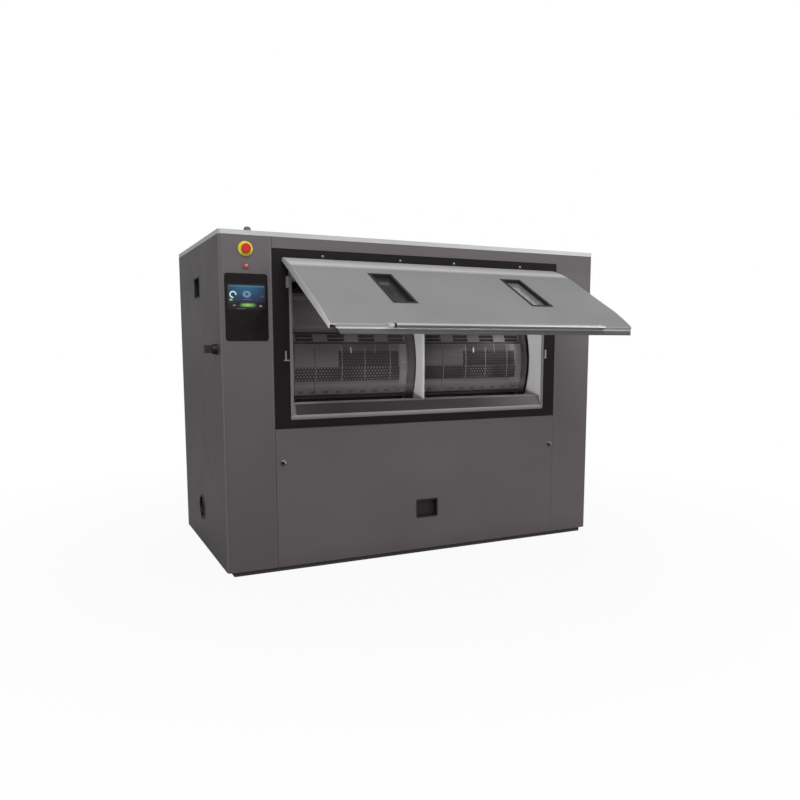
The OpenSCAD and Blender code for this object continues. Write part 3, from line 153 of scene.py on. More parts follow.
class Wire:
    """One output of a node; arithmetic on it adds Math nodes."""

    def __init__(self, finish, socket):
        self.finish, self.socket = finish, socket

    def math(self, op, *others):
        values = dict(enumerate((self,) + others))
        return self.finish.node("Math", {"operation": op}, values)

    def __add__(self, other):
        return self.math("ADD", other)

    __radd__ = __add__

    def __sub__(self, other):
        return self.math("SUBTRACT", other)

    def __rsub__(self, other):
        return self.finish.node("Math", {"operation": "SUBTRACT"}, {0: other, 1: self})

    def __mul__(self, other):
        return self.math("MULTIPLY", other)

    __rmul__ = __mul__

    def __truediv__(self, other):
        return self.math("DIVIDE", other)

    def __mod__(self, other):
        return self.math("FLOORED_MODULO", other)

    def __gt__(self, other):
        return self.math("GREATER_THAN", other)

    def __lt__(self, other):
        return self.math("LESS_THAN", other)

    def __abs__(self):
        return self.math("ABSOLUTE")

    def between(self, low, high):
        """1 between two values, 0 outside them."""
        return (self > low) * (self < high)

    def ramp(self, low, high, to_low=0.0, to_high=1.0):
        """Straight line between two values, held at its ends."""
        values = {0: self, 1: low, 2: high, 3: to_low, 4: to_high}
        return self.finish.node("MapRange", {"clamp": True}, values)


class Finish:
    """A surface finish under construction: one shader with some fixed inputs and some fed by wires."""

    def __init__(self, name, **fixed):
        self.material = bpy.data.materials.new(name)
        self.material.use_nodes = True
        self.tree = self.material.node_tree
        self.tree.nodes.clear()
        self.shader = self.tree.nodes.new("ShaderNodeBsdfPrincipled")
        self.output = self.tree.nodes.new("ShaderNodeOutputMaterial")
        self.tree.links.new(self.shader.outputs[0], self.output.inputs[0])
        for key, value in fixed.items():
            self.shader.inputs[key.replace("_", " ")].default_value = value

    def node(self, kind, settings, values, out=0):
        """Adds a node with its settings and its input values, and gives the output named."""
        made = self.tree.nodes.new("ShaderNode" + kind)
        for key, value in settings.items():
            setattr(made, key, value)
        for key, value in values.items():
            if isinstance(value, Wire):
                self.tree.links.new(value.socket, made.inputs[key])
            else:
                made.inputs[key].default_value = value
        return Wire(self, made.outputs[out])

    def feed(self, **links):
        for key, value in links.items():
            self.tree.links.new(value.socket, self.shader.inputs[key.replace("_", " ")])

    def point(self):
        """The point on the piece, as a vector."""
        return self.node("TexCoord", {}, {}, out="Object")

    def numbers(self, point, axes="XYZ"):
        """The point's numbers along the axes named."""
        return [self.node("SeparateXYZ", {}, {0: point}, out=axis) for axis in axes]

    def stretched(self, point, x, y, z):
        return self.node("VectorMath", {"operation": "MULTIPLY"}, {0: point, 1: (x, y, z)})

    def noise(self, point, scale, detail=3.0, rough=0.5):
        values = {"Vector": point, "Scale": scale, "Detail": detail, "Roughness": rough}
        return self.node("TexNoise", {}, values)

    def blend(self, factor, first, second):
        """The first colour at factor 0, the second at factor 1."""
        settings = {"data_type": "RGBA", "clamp_factor": True}
        return self.node("Mix", settings, {0: factor, 6: first, 7: second}, out=2)

    def bumped(self, height, distance, strength=1.0):
        values = {"Height": height, "Distance": distance, "Strength": strength}
        return self.node("Bump", {}, values, out="Normal")


def length(a, b):
    """How far a point with these two numbers lies from the origin."""
    return (a * a + b * b).math("SQRT")


def on_round_face(node, x, z):
    """How far a point lies sideways and up from the middle of a round node, and the node's radius."""
    low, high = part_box(node)
    return x - (low[0] + high[0]) / 2, z - (low[2] + high[2]) / 2, (high[0] - low[0]) / 2


def painted(name, colour, rough=0.45, metallic=0.0, peel=0.00004, shine=0.5):
    """Sprayed sheet metal: faint cloudiness, orange peel, dust-like changes of gloss."""
    f = Finish(name, Metallic=metallic, Specular_IOR_Level=shine)
    point = f.point()
    cloud = f.noise(point, 3.2, 4.0, 0.6)
    fine = f.noise(point, 240.0, 2.0)
    f.feed(
        Base_Color=f.blend(cloud.ramp(0.3, 0.7), scaled(colour, 0.94), scaled(colour, 1.06)),
        Roughness=cloud.ramp(0.3, 0.75, rough - 0.04, rough + 0.06) + fine * 0.03,
        Normal=f.bumped(fine, peel, 0.6),
    )
    return f.material


def cabinet_paint(name, marks):
    """Sprayed cabinet sheet, scuffed, darker at the foot; marks(x, y, z) lists (mask, brightness) of painted light
    and shade, and of seams.
    """
    f = Finish(name, Metallic=0.12)
    point = f.point()
    x, y, z = f.numbers(point)
    cloud = f.noise(point, 3.2, 4.0, 0.6)
    fine = f.noise(point, 240.0, 2.0)
    scuff = f.noise(f.stretched(point, 1.0, 1.0, 6.0), 9.0, 5.0, 0.7)
    grey = srgb(97, 91, 92)
    base = f.blend(cloud.ramp(0.3, 0.7), scaled(grey, 0.95), scaled(grey, 1.05))
    base = f.blend(scuff.ramp(0.66, 0.74, 0.0, 0.25), base, srgb(112, 107, 108))
    base = f.blend(z.ramp(0.03, 0.11, 0.35, 0.0), base, srgb(80, 74, 74))
    for mask, k in marks(x, y, z):
        base = f.blend(mask, base, scaled(grey, k))
    f.feed(
        Base_Color=base,
        Roughness=cloud.ramp(0.3, 0.75, 0.46, 0.56) + fine * 0.03,
        Normal=f.bumped(fine, 0.00004, 0.6),
    )
    return f.material


def side_painted_light(x, y, z):
    """Painted shade on the left side, most of all high up, and a painted highlight on the fold at its front
    corner.
    """
    painted_side_shade = (x < LEFT + 0.001) * (y > FRONT + 0.019) * z.ramp(0.8, 1.45, 0.55, 1.0)
    fold = (x < LEFT + 0.018) * (y < FRONT + 0.019)
    return [(painted_side_shade, 0.79), (fold, 1.4)]


def column_painted_light_and_seam(x, y, z):
    """Control column: painted shade towards the foot, painted highlights on the left fold and on the right fold
    beside a dark seam.
    """
    on_face = y < FRONT + 0.001
    fold = x.between(COLUMN_EDGE - 0.009, COLUMN_EDGE - 0.003) * on_face
    return [
        (z.ramp(0.3, 1.35, 0.95, 0.0), 0.84),
        ((x < LEFT + 0.007) * (y < FRONT + 0.015), 1.45),
        (fold * z.ramp(0.6, 1.2, 0.3, 1.0), 1.25),
        ((x > COLUMN_EDGE - 0.003) * on_face, 0.55),
    ]


def brushed(name, colour, along="x", rough=0.3, spread=0.12, metallic=1.0):
    """Ground stainless: long hair lines, slow changes of gloss."""
    f = Finish(name, Metallic=metallic)
    point = f.point()
    lines = f.noise(f.stretched(point, *HAIR[along]), 1.0, 4.0, 0.65)
    slow = f.noise(point, 2.6, 3.0)
    f.feed(
        Base_Color=f.blend(lines.ramp(0.25, 0.75), scaled(colour, 1 - spread), scaled(colour, 1 + spread)),
        Roughness=lines.ramp(0.3, 0.7, rough - 0.06, rough + 0.08) + slow.ramp(0.35, 0.7, -0.03, 0.05),
        Normal=f.bumped(lines, 0.00003, 0.5),
    )
    return f.material


def moulded(name, colour, rough=0.45, coat=0.0):
    """Moulded plastic or rubber with a fine grain."""
    f = Finish(name, Coat_Weight=coat, Coat_Roughness=0.08)
    point = f.point()
    grain = f.noise(point, 900.0, 2.0)
    slow = f.noise(point, 14.0, 3.0)
    f.feed(
        Base_Color=f.blend(slow.ramp(0.3, 0.7), scaled(colour, 0.9), scaled(colour, 1.12)),
        Roughness=slow.ramp(0.3, 0.7, rough - 0.05, rough + 0.07),
        Normal=f.bumped(grain, 0.00004, 0.5),
    )
    return f.material


def drum_steel():
    """Drum skin: ground steel with perforated fields, latch row, seams and plain strips; painted light on the
    upper left, painted shade in the middle of the right half, painted highlights on the smooth strips and in the
    dimples of the holes, painted shade in the latch row's recessed lip.
    """
    f = Finish("drum_skin")
    point = f.point()
    x, y, z = f.numbers(point)
    # Outer and inner end of a half of the drum, from the middle, and both ends of its hatch within the half
    half_outer, half_inner = 0.7065, 0.0565
    hatch_start, hatch_end = 0.004, 0.646
    # Degrees up from the front, and the place along the half of the drum that the point is on
    up = z - AXIS_Z
    angle = up.math("ARCTAN2", y * -1.0) * (180 / math.pi)
    along = x - MID
    right = along > 0.0
    local = along + half_outer * (1 - right) - half_inner * right
    skin = (length(up, y) > DRUM_R - 0.0065) * (abs(along) < half_outer + 0.005)
    hatch = local.between(hatch_start, hatch_end)

    # Staggered rows of holes
    pitch = 0.0176
    rows = angle * (math.pi / 180 * DRUM_R) / (pitch * 0.866)
    across = local / pitch + (rows.math("FLOOR") % 2.0) * 0.5
    du, dv = (across % 1.0) - 0.5, (rows % 1.0) - 0.5
    hole = (du * du + dv * dv * 0.75).math("SQRT").ramp(0.27, 0.35, 1.0, 0.0)

    # Perforated fields; some seams run over the same angles
    low_span, upper_span, low_end = (-11.6, -2.2), (26.0, 48.0), 0.604
    low_field = angle.between(*low_span)
    patch = angle.between(-2.3, 8.4) * local.between(0.245, 0.598)
    upper = angle.between(*upper_span) * local.between(0.02, 0.63)
    faint = angle.between(8.4, 13.2) * local.between(0.272, 0.54) * 0.55 - upper * 0.6
    rest = (1 - angle.between(-24.0, 56.0)) * (abs(abs(along) - 0.38) < 0.31)
    field = low_field * local.between(hatch_start, low_end) + patch + faint + upper + rest
    field = field.ramp(0.0, 1.0) * skin

    def line(at, half, low, high):
        """Thin line round the drum at one place along it, between two angles."""
        return (abs(local - at) < half) * angle.between(low, high)

    # Bright seams, dark joints, and the latch row with its tabs, painted shade in its recessed lip between them,
    # and the slots below
    wide, thin = 0.0016, 0.0013
    seam = (
        line(0.265, wide, -11.6, 12.0)
        + line(0.397, wide, -11.0, 11.0)
        + line(0.459, thin, 7.0, 21.0)
        + line(0.547, wide, -11.0, 9.0)
        + line(0.118, thin, *low_span)
        + line(0.397, thin, *upper_span)
    ).ramp(0.0, 1.0) * skin
    joint = line(0.112, wide, -21.0, 10.0) + angle.between(13.4, 14.7) * hatch
    joint = joint.ramp(0.0, 1.0) * skin
    latch = angle.between(14.8, 20.6) * hatch
    tab = ((local - 0.109) % 0.176) < 0.082
    # Painted shade: two dark rows in the recessed lip between the tabs
    lip_recess_shade = (angle.between(15.3, 17.2) + angle.between(18.0, 20.0)) * (1 - tab) * latch
    slot = angle.between(-20.2, -18.4) * ((local / 0.071) % 1.0).between(0.3, 0.72) * skin * hatch
    # Smoother strip near the end of each hatch, which also carries a painted highlight
    smooth = (local + right * 0.03).ramp(0.592, 0.616) * (local < hatch_end)
    smooth = smooth * skin * angle.between(-20.6, 13.6)

    grain = f.noise(f.stretched(point, 2.0, 300, 300), 1.0, 4.0, 0.6)
    cloud = f.noise(point, 5.0, 4.0)
    # Painted highlights in the dimples of the low field's holes
    dimple_highlight = hole * low_field * (local < low_end) * skin * (1 - seam) * cloud.ramp(0.3, 0.55, 0.15, 1.0)
    base = f.blend(grain.ramp(0.3, 0.7), srgb(116, 110, 111), srgb(134, 128, 129))
    for mask, colour in (
        # Painted light: upper part of the left half lighter
        (angle.ramp(21.0, 27.0) * (1 - right) * (abs(along) > 0.06) * 0.7, srgb(206, 198, 200)),
        (angle.ramp(-15.0, -12.5, 1.0, 0.0) * 0.6, srgb(168, 161, 162)),
        # Painted shade: middle of the right half darker
        (right * angle.between(-12.0, 13.0) * 0.35, srgb(74, 70, 71)),
        (tab * latch, srgb(138, 133, 134)),
        # Painted highlight on the smooth strips, fainter on the right half
        (smooth * (0.5 - right * 0.25), srgb(178, 172, 173)),
        ((local > 0.655) * 0.45, srgb(58, 53, 54)),
        (field * (0.66 + low_field * 0.2), srgb(50, 45, 46)),
        (seam * 0.7, srgb(176, 172, 172)),
        (joint * 0.75, srgb(38, 34, 35)),
        (dimple_highlight * 0.7, srgb(142, 135, 136)),
    ):
        base = f.blend(mask, base, colour)
    dark = (hole * (field - dimple_highlight) * (1 - seam) + lip_recess_shade + slot * 0.5).ramp(0.0, 1.0)
    f.feed(
        Base_Color=f.blend(dark * 0.9, base, srgb(16, 14, 15)),
        Roughness=cloud.ramp(0.3, 0.7, 0.34, 0.44) + dark * 0.4 - smooth * 0.1,
        Metallic=0.88 - dark * 0.8,
        Normal=f.bumped(grain * 0.3 - dark * 4.0 - joint * 2.0, 0.0003, 0.6),
    )
    return f.material


def operator_screen():
    """Lit screen: blue field fading to the edges, open pale ring, grey dial, short green bar and ticks."""
    f = Finish("screen_picture", Roughness=0.15, Base_Color=srgb(10, 10, 12), Emission_Strength=1.0)
    x, z = f.numbers(f.point(), "XZ")
    low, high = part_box("operator_screen")
    # Shares of the screen's width and height, and how much wider than high it is
    u = (x - low[0]) / (high[0] - low[0])
    v = (z - low[2]) / (high[2] - low[2])
    wide = (high[0] - low[0]) / (high[2] - low[2])

    def away(cu, cv, squash=1.0):
        """Distance from a place on the screen, as a share of its height."""
        return length((u - cu) * wide, (v - cv) / squash)

    def patch(u0, u1, v0, v1, soft=0.03):
        """Soft-edged rectangle."""
        across = u.ramp(u0 - soft, u0 + soft) * u.ramp(u1 - soft, u1 + soft, 1.0, 0.0)
        return across * v.ramp(v0 - soft, v0 + soft) * v.ramp(v1 - soft, v1 + soft, 1.0, 0.0)

    def ring(distance, inner, outer):
        """Ring between two soft edges, each a pair of distances."""
        return distance.ramp(*outer, 1.0, 0.0) * distance.ramp(*inner)

    to_ring, to_dial = away(0.14, 0.575), away(0.506, 0.6, 0.8)
    open_ring = ring(to_ring, (0.085, 0.105), (0.125, 0.145)) * (1 - (u > 0.15) * (v < 0.56))
    dial = ring(to_dial, (0.045, 0.085), (0.15, 0.18))
    bar_colour = f.blend(away(0.52, 0.17).ramp(0.0, 0.3), srgb(156, 206, 112), srgb(74, 122, 44))
    ticks = patch(0.14, 0.2, 0.14, 0.17, 0.02) + patch(0.85, 0.9, 0.12, 0.17, 0.02)
    picture = f.blend(v.ramp(0.35, 0.95), srgb(34, 42, 74), srgb(22, 96, 128))
    for mask, colour in (
        (abs(u - 0.47).ramp(0.15, 0.52, 0.0, 0.72), srgb(24, 24, 36)),
        (patch(0.03, 0.97, 0.885, 0.935, 0.012) * 0.5, srgb(96, 120, 132)),
        (patch(-0.05, 1.05, -0.1, 0.3), srgb(16, 14, 22)),
        (away(0.1, 0.42).ramp(0.05, 0.26, 0.5, 0.0) * (v < 0.52), srgb(10, 76, 26)),
        (open_ring, srgb(238, 242, 246)),
        (patch(0.055, 0.115, 0.35, 0.395, 0.02), srgb(190, 236, 196)),
        (dial * 0.75, srgb(124, 148, 172)),
        (patch(0.4, 0.62, 0.385, 0.4, 0.01) * 0.7, srgb(112, 150, 156)),
        (patch(0.9, 0.95, 0.5, 0.56), srgb(84, 92, 108)),
        (patch(0.33, 0.73, 0.12, 0.23, 0.045), bar_colour),
        (ticks * 0.8, srgb(186, 188, 194)),
        (patch(0.24, 0.47, 0.02, 0.035, 0.012) * 0.7, srgb(130, 136, 132)),
        (v.ramp(0.93, 0.97), srgb(16, 14, 18)),
    ):
        picture = f.blend(mask, picture, colour)
    f.feed(Emission_Color=picture)
    return f.material


def panel_glass():
    """Dark glass front of the operator panel."""
    f = Finish("panel_glass", Specular_IOR_Level=0.3, Coat_Weight=0.05, Coat_Roughness=0.1)
    smear = f.noise(f.stretched(f.point(), 6, 6, 14), 2.0, 4.0, 0.6)
    f.feed(
        Base_Color=f.blend(smear.ramp(0.3, 0.7), srgb(14, 7, 7), srgb(19, 11, 11)),
        Roughness=smear.ramp(0.3, 0.7, 0.2, 0.32),
        Normal=f.bumped(smear, 0.00002, 0.3),
    )
    return f.material


def sill_steel():
    """Drip sill: dark slope with painted light that makes it lighter to the right, between a bright upper edge and
    a bright front lip.
    """
    f = Finish("sill_steel", Metallic=0.55)
    point = f.point()
    x, z = f.numbers(point, "XZ")
    across = x - MID
    lip_foot, lip_top, slope_foot, edge_foot = 0.783, 0.799, 0.803, 0.8572
    lines = f.noise(f.stretched(point, *HAIR["x"]), 1.0, 4.0, 0.6)
    lip = f.blend(z.ramp(lip_foot, lip_top), srgb(126, 122, 123), srgb(168, 164, 166))
    slope = f.blend(lines.ramp(0.25, 0.75), srgb(62, 57, 59), srgb(78, 73, 75))
    # Painted light: the slope lighter to the right
    slope = f.blend(across.ramp(0.3, 0.74, 0.0, 0.55), slope, srgb(126, 121, 123))
    slope = f.blend(across.ramp(-0.745, -0.738, 1.0, 0.0), slope, srgb(134, 130, 131))
    slope = f.blend(z > edge_foot, slope, srgb(170, 166, 168))
    f.feed(
        Base_Color=f.blend(z < slope_foot, slope, lip),
        Roughness=lines.ramp(0.3, 0.7, 0.42, 0.55),
        Normal=f.bumped(lines, 0.00003, 0.5),
    )
    return f.material


def mouth_steel(name):
    """Bright plates of a loading mouth: darker lip and divider, a painted highlight on the right cheek, darker
    rear ledge.
    """
    f = Finish(name, Metallic=0.05)
    point = f.point()
    x, y, z = f.numbers(point)
    divider_half, cheek_start, ledge_top = 0.1, 0.7, 0.8585
    lines = f.noise(f.stretched(point, *HAIR["z"]), 1.0, 4.0, 0.6)
    stain = f.noise(point, 7.0, 4.0, 0.6)
    plate = f.blend(lines.ramp(0.25, 0.75), srgb(200, 198, 199), srgb(222, 221, 222))
    for mask, colour in (
        (stain.ramp(0.5, 0.75, 0.0, 0.25), srgb(172, 170, 171)),
        ((abs(x - MID) < divider_half) * 0.25, srgb(176, 173, 174)),
        # Painted highlight on the right cheek
        ((x > MID + cheek_start) * (y < 0.0) * 0.4, srgb(240, 239, 240)),
        (z.ramp(ledge_top - 0.0025, ledge_top, 1.0, 0.0) * (y > 0.0), srgb(92, 87, 89)),
        (abs(y) > abs(FRONT) - 0.0004, srgb(124, 120, 121)),
    ):
        plate = f.blend(mask, plate, colour)
    f.feed(
        Base_Color=plate,
        Roughness=lines.ramp(0.3, 0.7, 0.34, 0.46),
        Normal=f.bumped(lines, 0.00003, 0.5),
    )
    return f.material


def hinge_steel():
    """Blackened hinge leaves and knuckles, rubbed bright here and there."""
    f = Finish("hinge_black", Metallic=0.3)
    point = f.point()
    grit = f.noise(point, 300.0, 3.0)
    rub = f.noise(point, 60.0, 4.0, 0.7)
    f.feed(
        Base_Color=f.blend(rub.ramp(0.6, 0.75, 0.0, 0.5), srgb(26, 24, 25), srgb(96, 94, 95)),
        Roughness=grit.ramp(0.3, 0.7, 0.4, 0.55),
        Normal=f.bumped(grit, 0.00005, 0.5),
    )
    return f.material


def handle_tube(name, axis_z):
    """Polished tube with painted shade on its underside, a black collar, and the satin end piece beside it."""
    f = Finish(name)
    point = f.point()
    x, z = f.numbers(point, "XZ")
    across = x - MID
    lines = f.noise(f.stretched(point, 2, 300, 300), 1.0, 3.0)
    collar = across.between(*COLLAR)
    end_piece = across < COLLAR[0]
    # Painted shade on the lower side of the tube
    under = ((z - axis_z) / HANDLE_R).ramp(-0.15, 0.4, 1.0, 0.0)
    steel = f.blend(lines.ramp(0.3, 0.7), srgb(236, 236, 237), srgb(250, 250, 250))
    steel = f.blend(under * 0.85, steel, srgb(104, 100, 101))
    steel = f.blend(end_piece, steel, srgb(176, 175, 176))
    f.feed(
        Base_Color=f.blend(collar, steel, srgb(20, 19, 19)),
        Metallic=1.0 - collar - end_piece * 0.6,
        Roughness=lines.ramp(0.3, 0.7, 0.28, 0.34) + end_piece * 0.12,
        Normal=f.bumped(lines, 0.00002, 0.1),
    )
    return f.material


def as_shut(y, z):
    """Where a point of the open front door lies when it is shut: out from the surround, and height."""
    cos, sin = math.cos(math.radians(OPEN_ANGLE)), math.sin(math.radians(OPEN_ANGLE))
    dy, dz = y - HINGE_Y, z - HINGE_Z
    return FRONT - HINGE_Y - (dy * cos - dz * sin), dy * sin + dz * cos + HINGE_Z


def door_paint(name, is_open):
    """Satin door sheet: painted highlight on the upper slope, painted light on the ends, darker turned-in lower
    edge with a painted highlight along its fold.
    """
    f = Finish(name, Metallic=0.3)
    point = f.point()
    x, y, z = f.numbers(point)
    out, height = as_shut(y, z) if is_open else (y + FRONT, z)
    cloud = f.noise(point, 2.4, 4.0, 0.6)
    fine = f.noise(point, 260.0, 2.0)
    base = f.blend(cloud.ramp(0.3, 0.7), srgb(138, 138, 138), srgb(148, 148, 148))
    for mask, colour in (
        # Painted highlight below the upper bend, fading down the slope
        (height.ramp(1.39, 1.43) * height.ramp(1.43, 1.53, 1.0, 0.65), srgb(210, 210, 211)),
        ((height < 0.8004) * (out < 0.026), srgb(92, 88, 89)),
        # Painted highlight along the fold of the lip
        ((abs(height - 0.8012) < 0.0012) * (out < 0.03), srgb(196, 196, 196)),
        # Painted light on both end walls
        ((abs(x - MID) > DOOR_RIGHT - MID - 0.0007) * (height > 0.802), srgb(232, 232, 232)),
    ):
        base = f.blend(mask, base, colour)
    f.feed(
        Base_Color=base,
        Roughness=cloud.ramp(0.3, 0.75, 0.36, 0.46) + fine * 0.03,
        Normal=f.bumped(fine, 0.00004, 0.6),
    )
    return f.material


def button_lens():
    """Red push button: dark rim, paler middle with a small painted highlight off centre."""
    f = Finish("button_red", Coat_Roughness=0.1, Coat_Weight=0.4)
    point = f.point()
    x, z = f.numbers(point, "XZ")
    px, pz, radius = on_round_face("push_button", x, z)
    spot = length(px - 0.0035, pz - 0.003)
    base = f.blend((length(px, pz) / radius).ramp(0.55, 0.8), srgb(178, 108, 103), srgb(132, 44, 41))
    # Painted highlight: small pale spot off centre
    base = f.blend(spot.ramp(0.0015, 0.004, 0.8, 0.0), base, srgb(240, 224, 220))
    f.feed(Base_Color=base, Roughness=f.noise(point, 300.0, 2.0).ramp(0.3, 0.7, 0.2, 0.3))
    return f.material


def lock_steel(node):
    """Panel lock: rim with a painted glint above and painted shade below, round a square-key recess painted dark
    as shade.
    """
    f = Finish(node + "_steel", Metallic=0.6)
    point = f.point()
    x, z = f.numbers(point, "XZ")
    px, pz, radius = on_round_face(node, x, z)
    # Painted glint on the upper rim, painted shade on the lower rim
    rim = f.blend((pz + px * 0.6).ramp(0.0008, 0.003), srgb(70, 66, 67), srgb(206, 202, 203))
    # Painted shade in the key recess
    base = f.blend((length(px, pz) / radius).ramp(0.5, 0.62), srgb(20, 18, 19), rim)
    f.feed(Base_Color=base, Roughness=f.noise(point, 400.0, 2.0).ramp(0.3, 0.7, 0.25, 0.4))
    return f.material


def clear_glass(name, left_tint, right_tint):
    """Toughened panes, smeared; the right one painted paler and less clear than the left one, as painted light."""
    f = Finish(name, IOR=1.5)
    point = f.point()
    [x] = f.numbers(point, "X")
    smear = f.noise(f.stretched(point, 3, 3, 9), 2.0, 3.0)
    # Painted light: the right pane paler and less clear
    tint = f.blend(x > 0.0, left_tint, right_tint)
    f.feed(
        Base_Color=f.blend(smear * 0.4, tint, srgb(110, 104, 105)),
        Alpha=smear.ramp(0.3, 0.7, 0.16, 0.24) + (x > 0.0) * 0.3,
        Roughness=smear.ramp(0.3, 0.7, 0.05, 0.09),
    )
    return f.material


def framed_glass(name, tint):
    """Smeared panes inside a solid black rim, for windows whose frame and pane are one node."""
    f = Finish(name, IOR=1.5)
    point = f.point()
    x, y, z = f.numbers(point)
    smear = f.noise(f.stretched(point, 3, 3, 9), 2.0, 3.0)
    half_x = WINDOW_HALF + PANE_PAST_X - PANE_RIM
    half_z = (WINDOW_Z[1] - WINDOW_Z[0]) / 2 + PANE_PAST_Z - PANE_RIM
    across = abs(abs(x - MID) - WINDOW_X) < half_x
    pane = across * (abs(z - sum(WINDOW_Z) / 2) < half_z) * (y < 0.64)
    smeared = f.blend(smear * 0.4, tint, srgb(110, 104, 105))
    # Painted light: the right pane less clear, as on the front door
    clear = smear.ramp(0.3, 0.7, 0.16, 0.24) + (x > 0.0) * 0.3
    f.feed(
        Base_Color=f.blend(pane, srgb(22, 22, 23), smeared),
        Alpha=pane * clear + (1 - pane),
        Roughness=smear.ramp(0.3, 0.7, 0.45, 0.49),
    )
    return f.material


def slot_finishes():
    """The finish of each material slot."""
    return {
        "frame_dark": painted("plinth_paint", srgb(58, 54, 55), 0.55),
        "frame_grey": painted("frame_paint", srgb(120, 123, 127), 0.5),
        "panel_grey": cabinet_paint("cabinet_paint", side_painted_light),
        "lid_light": painted("lid_paint", srgb(196, 196, 196), 0.36, 0.25),
        "cap_grey": moulded("roof_plug_plastic", srgb(96, 95, 96)),
        "surround_black": painted("surround_paint", srgb(15, 9, 11), 0.6, shine=0.25),
        "stainless": brushed("ground_steel", srgb(205, 204, 204), "z", 0.4, 0.08, 0.7),
        "steel_bright": brushed("bright_steel", srgb(235, 235, 236), "x", 0.2, 0.06),
        "black_plastic": moulded("black_plastic", srgb(26, 21, 22), 0.5),
        "stop_yellow": moulded("stop_yellow", srgb(222, 212, 44), 0.4, coat=0.2),
        "black_gloss": panel_glass(),
        "screen": operator_screen(),
        "cast": painted("cast_iron", srgb(92, 95, 98), 0.6, 0.2, 0.0002),
        "brass": brushed("brass_fitting", srgb(205, 170, 95), "y", 0.3),
        "motor_blue": painted("motor_paint", srgb(60, 84, 110), 0.45),
        "rubber_black": moulded("black_rubber", srgb(24, 24, 25), 0.6),
        "stop_red": moulded("stop_red", srgb(196, 26, 20), 0.32, coat=0.4),
        "door_grey": door_paint("door_paint", True),
        "glass": clear_glass("window_glass", srgb(62, 56, 57), srgb(158, 153, 154)),
        "drum_steel": drum_steel(),
    }


def own_finishes():
    """The finishes of nodes that differ from the rest of their slot."""
    return {
        "control_column": cabinet_paint("column_paint", column_painted_light_and_seam),
        "push_button": button_lens(),
        "lock_left": lock_steel("lock_left"),
        "lock_right": lock_steel("lock_right"),
        "front_sill": sill_steel(),
        "front_throat": mouth_steel("mouth_steel"),
        "rear_throat": mouth_steel("rear_mouth_steel"),
        "rear_cheeks": mouth_steel("rear_cheek_steel"),
        "door_hinges": hinge_steel(),
        "door_catches": brushed("catch_steel", srgb(182, 180, 181), "z", 0.38, 0.1, 0.8),
        "rear_door_skin": door_paint("rear_door_paint", False),
        "rear_window_glass": framed_glass("rear_glazing", srgb(70, 68, 69)),
        "button_bezel": moulded("button_rim", srgb(132, 92, 90), 0.3),
        "front_door_handle": handle_tube("handle_steel", on_front_door(0, HANDLE_OUT, HANDLE_Z).z),
        "rear_door_handle": handle_tube("rear_handle_steel", HANDLE_Z),
    }


def dress_nodes(by_slot, by_node):
    """Give every node its own finish, or else its slot's."""
    slots = {p["node"]: p["material_slot"] for p in frame["record"]["subparts"]}
    for name, obj in nodes.items():
        obj.data.materials.clear()
        obj.data.materials.append(by_node[name] if name in by_node else by_slot[slots[name]])


# Shapes


def soften(name, radius):
    """Roll the sharp edges of a node."""
    bevel = nodes[name].modifiers.new("rolled_edges", "BEVEL")
    bevel.width, bevel.segments = radius, 2
    bevel.limit_method, bevel.angle_limit = "ANGLE", math.radians(32)
    bevel.use_clamp_overlap = True
    bevel.harden_normals = False


def inset(name, depth):
    """Draw a node's faces inwards so that they stay under the sheet round them."""
    shrink = nodes[name].modifiers.new("inset", "DISPLACE")
    shrink.strength, shrink.mid_level, shrink.direction = -depth, 0.0, "NORMAL"


def on_front_door(x, out, z):
    """Point of the open front door; out is measured from the surround, z with the door shut."""
    return HINGE + SWING @ (Vector((x, FRONT - out, z)) - HINGE)


def on_rear_door(x, out, z):
    """Point of the shut rear door; out is measured from the surround."""
    return Vector((x, -FRONT + out, z))


def rounded(points, corners):
    """Profile with some corners replaced by arcs; corners maps a point to (length cut off, steps)."""
    out = []
    for i, point in enumerate(points):
        if point not in corners:
            out.append(point)
            continue
        cut, steps = corners[point]
        corner = Vector(point)
        start = corner + (Vector(points[i - 1]) - corner).normalized() * cut
        end = corner + (Vector(points[i + 1]) - corner).normalized() * cut
        for k in range(steps + 1):
            u = k / steps
            out.append(tuple(start * (1 - u) ** 2 + corner * 2 * u * (1 - u) + end * u * u))
    return out


def finish_piece(name, bm, material, body, smooth):
    """Turn a mesh under construction into a piece that rides on a body, shaded smooth below an angle."""
    bmesh.ops.recalc_face_normals(bm, faces=bm.faces)
    mesh = bpy.data.meshes.new(name)
    bm.to_mesh(mesh)
    bm.free()
    mesh.materials.append(material)
    for face in mesh.polygons:
        face.use_smooth = True
    mesh.set_sharp_from_angle(angle=math.radians(smooth))
    obj = bpy.data.objects.new(name, mesh)
    scene.collection.objects.link(obj)
    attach(obj, body)
    return obj


def sheet_sections():
    """Door sheet in section, as points (out, height) from top to foot: in full, and cut for the finger space.

    Also gives the first and last row between which the two differ.
    """
    top, upper, lower = (0.037, SHEET_TOP), (SHEET_FACE, UPPER_BEND), (SHEET_FACE, LOWER_BEND)
    lip_bend, lip_end = (0.044, LIP_FOLD[1] + 0.003), (0.0045, 0.7893)
    corners = [(SHEET_BACK, SHEET_TOP), top, upper, (SHEET_FACE, WINDOW_Z[1]), (SHEET_FACE, WINDOW_Z[0])]
    corners += [lower, SLOPE_FOOT, lip_bend, LIP_FOLD, lip_end]
    lip_steps = 3
    bends = {top: (0.010, 6), upper: (0.062, 12), lower: (0.055, 10)}
    bends |= {lip_bend: (0.009, 5), LIP_FOLD: (0.006, lip_steps)}
    full = rounded(corners, bends)
    first, last = full.index(SLOPE_FOOT), len(full) - 1 - lip_steps
    finger = list(full)
    for i in range(first, last):
        share = (i - first) / (last - first)
        finger[i] = tuple(Vector(SLOPE_FOOT).lerp(Vector(LIP_FOLD), share))
    return full, finger, first, last


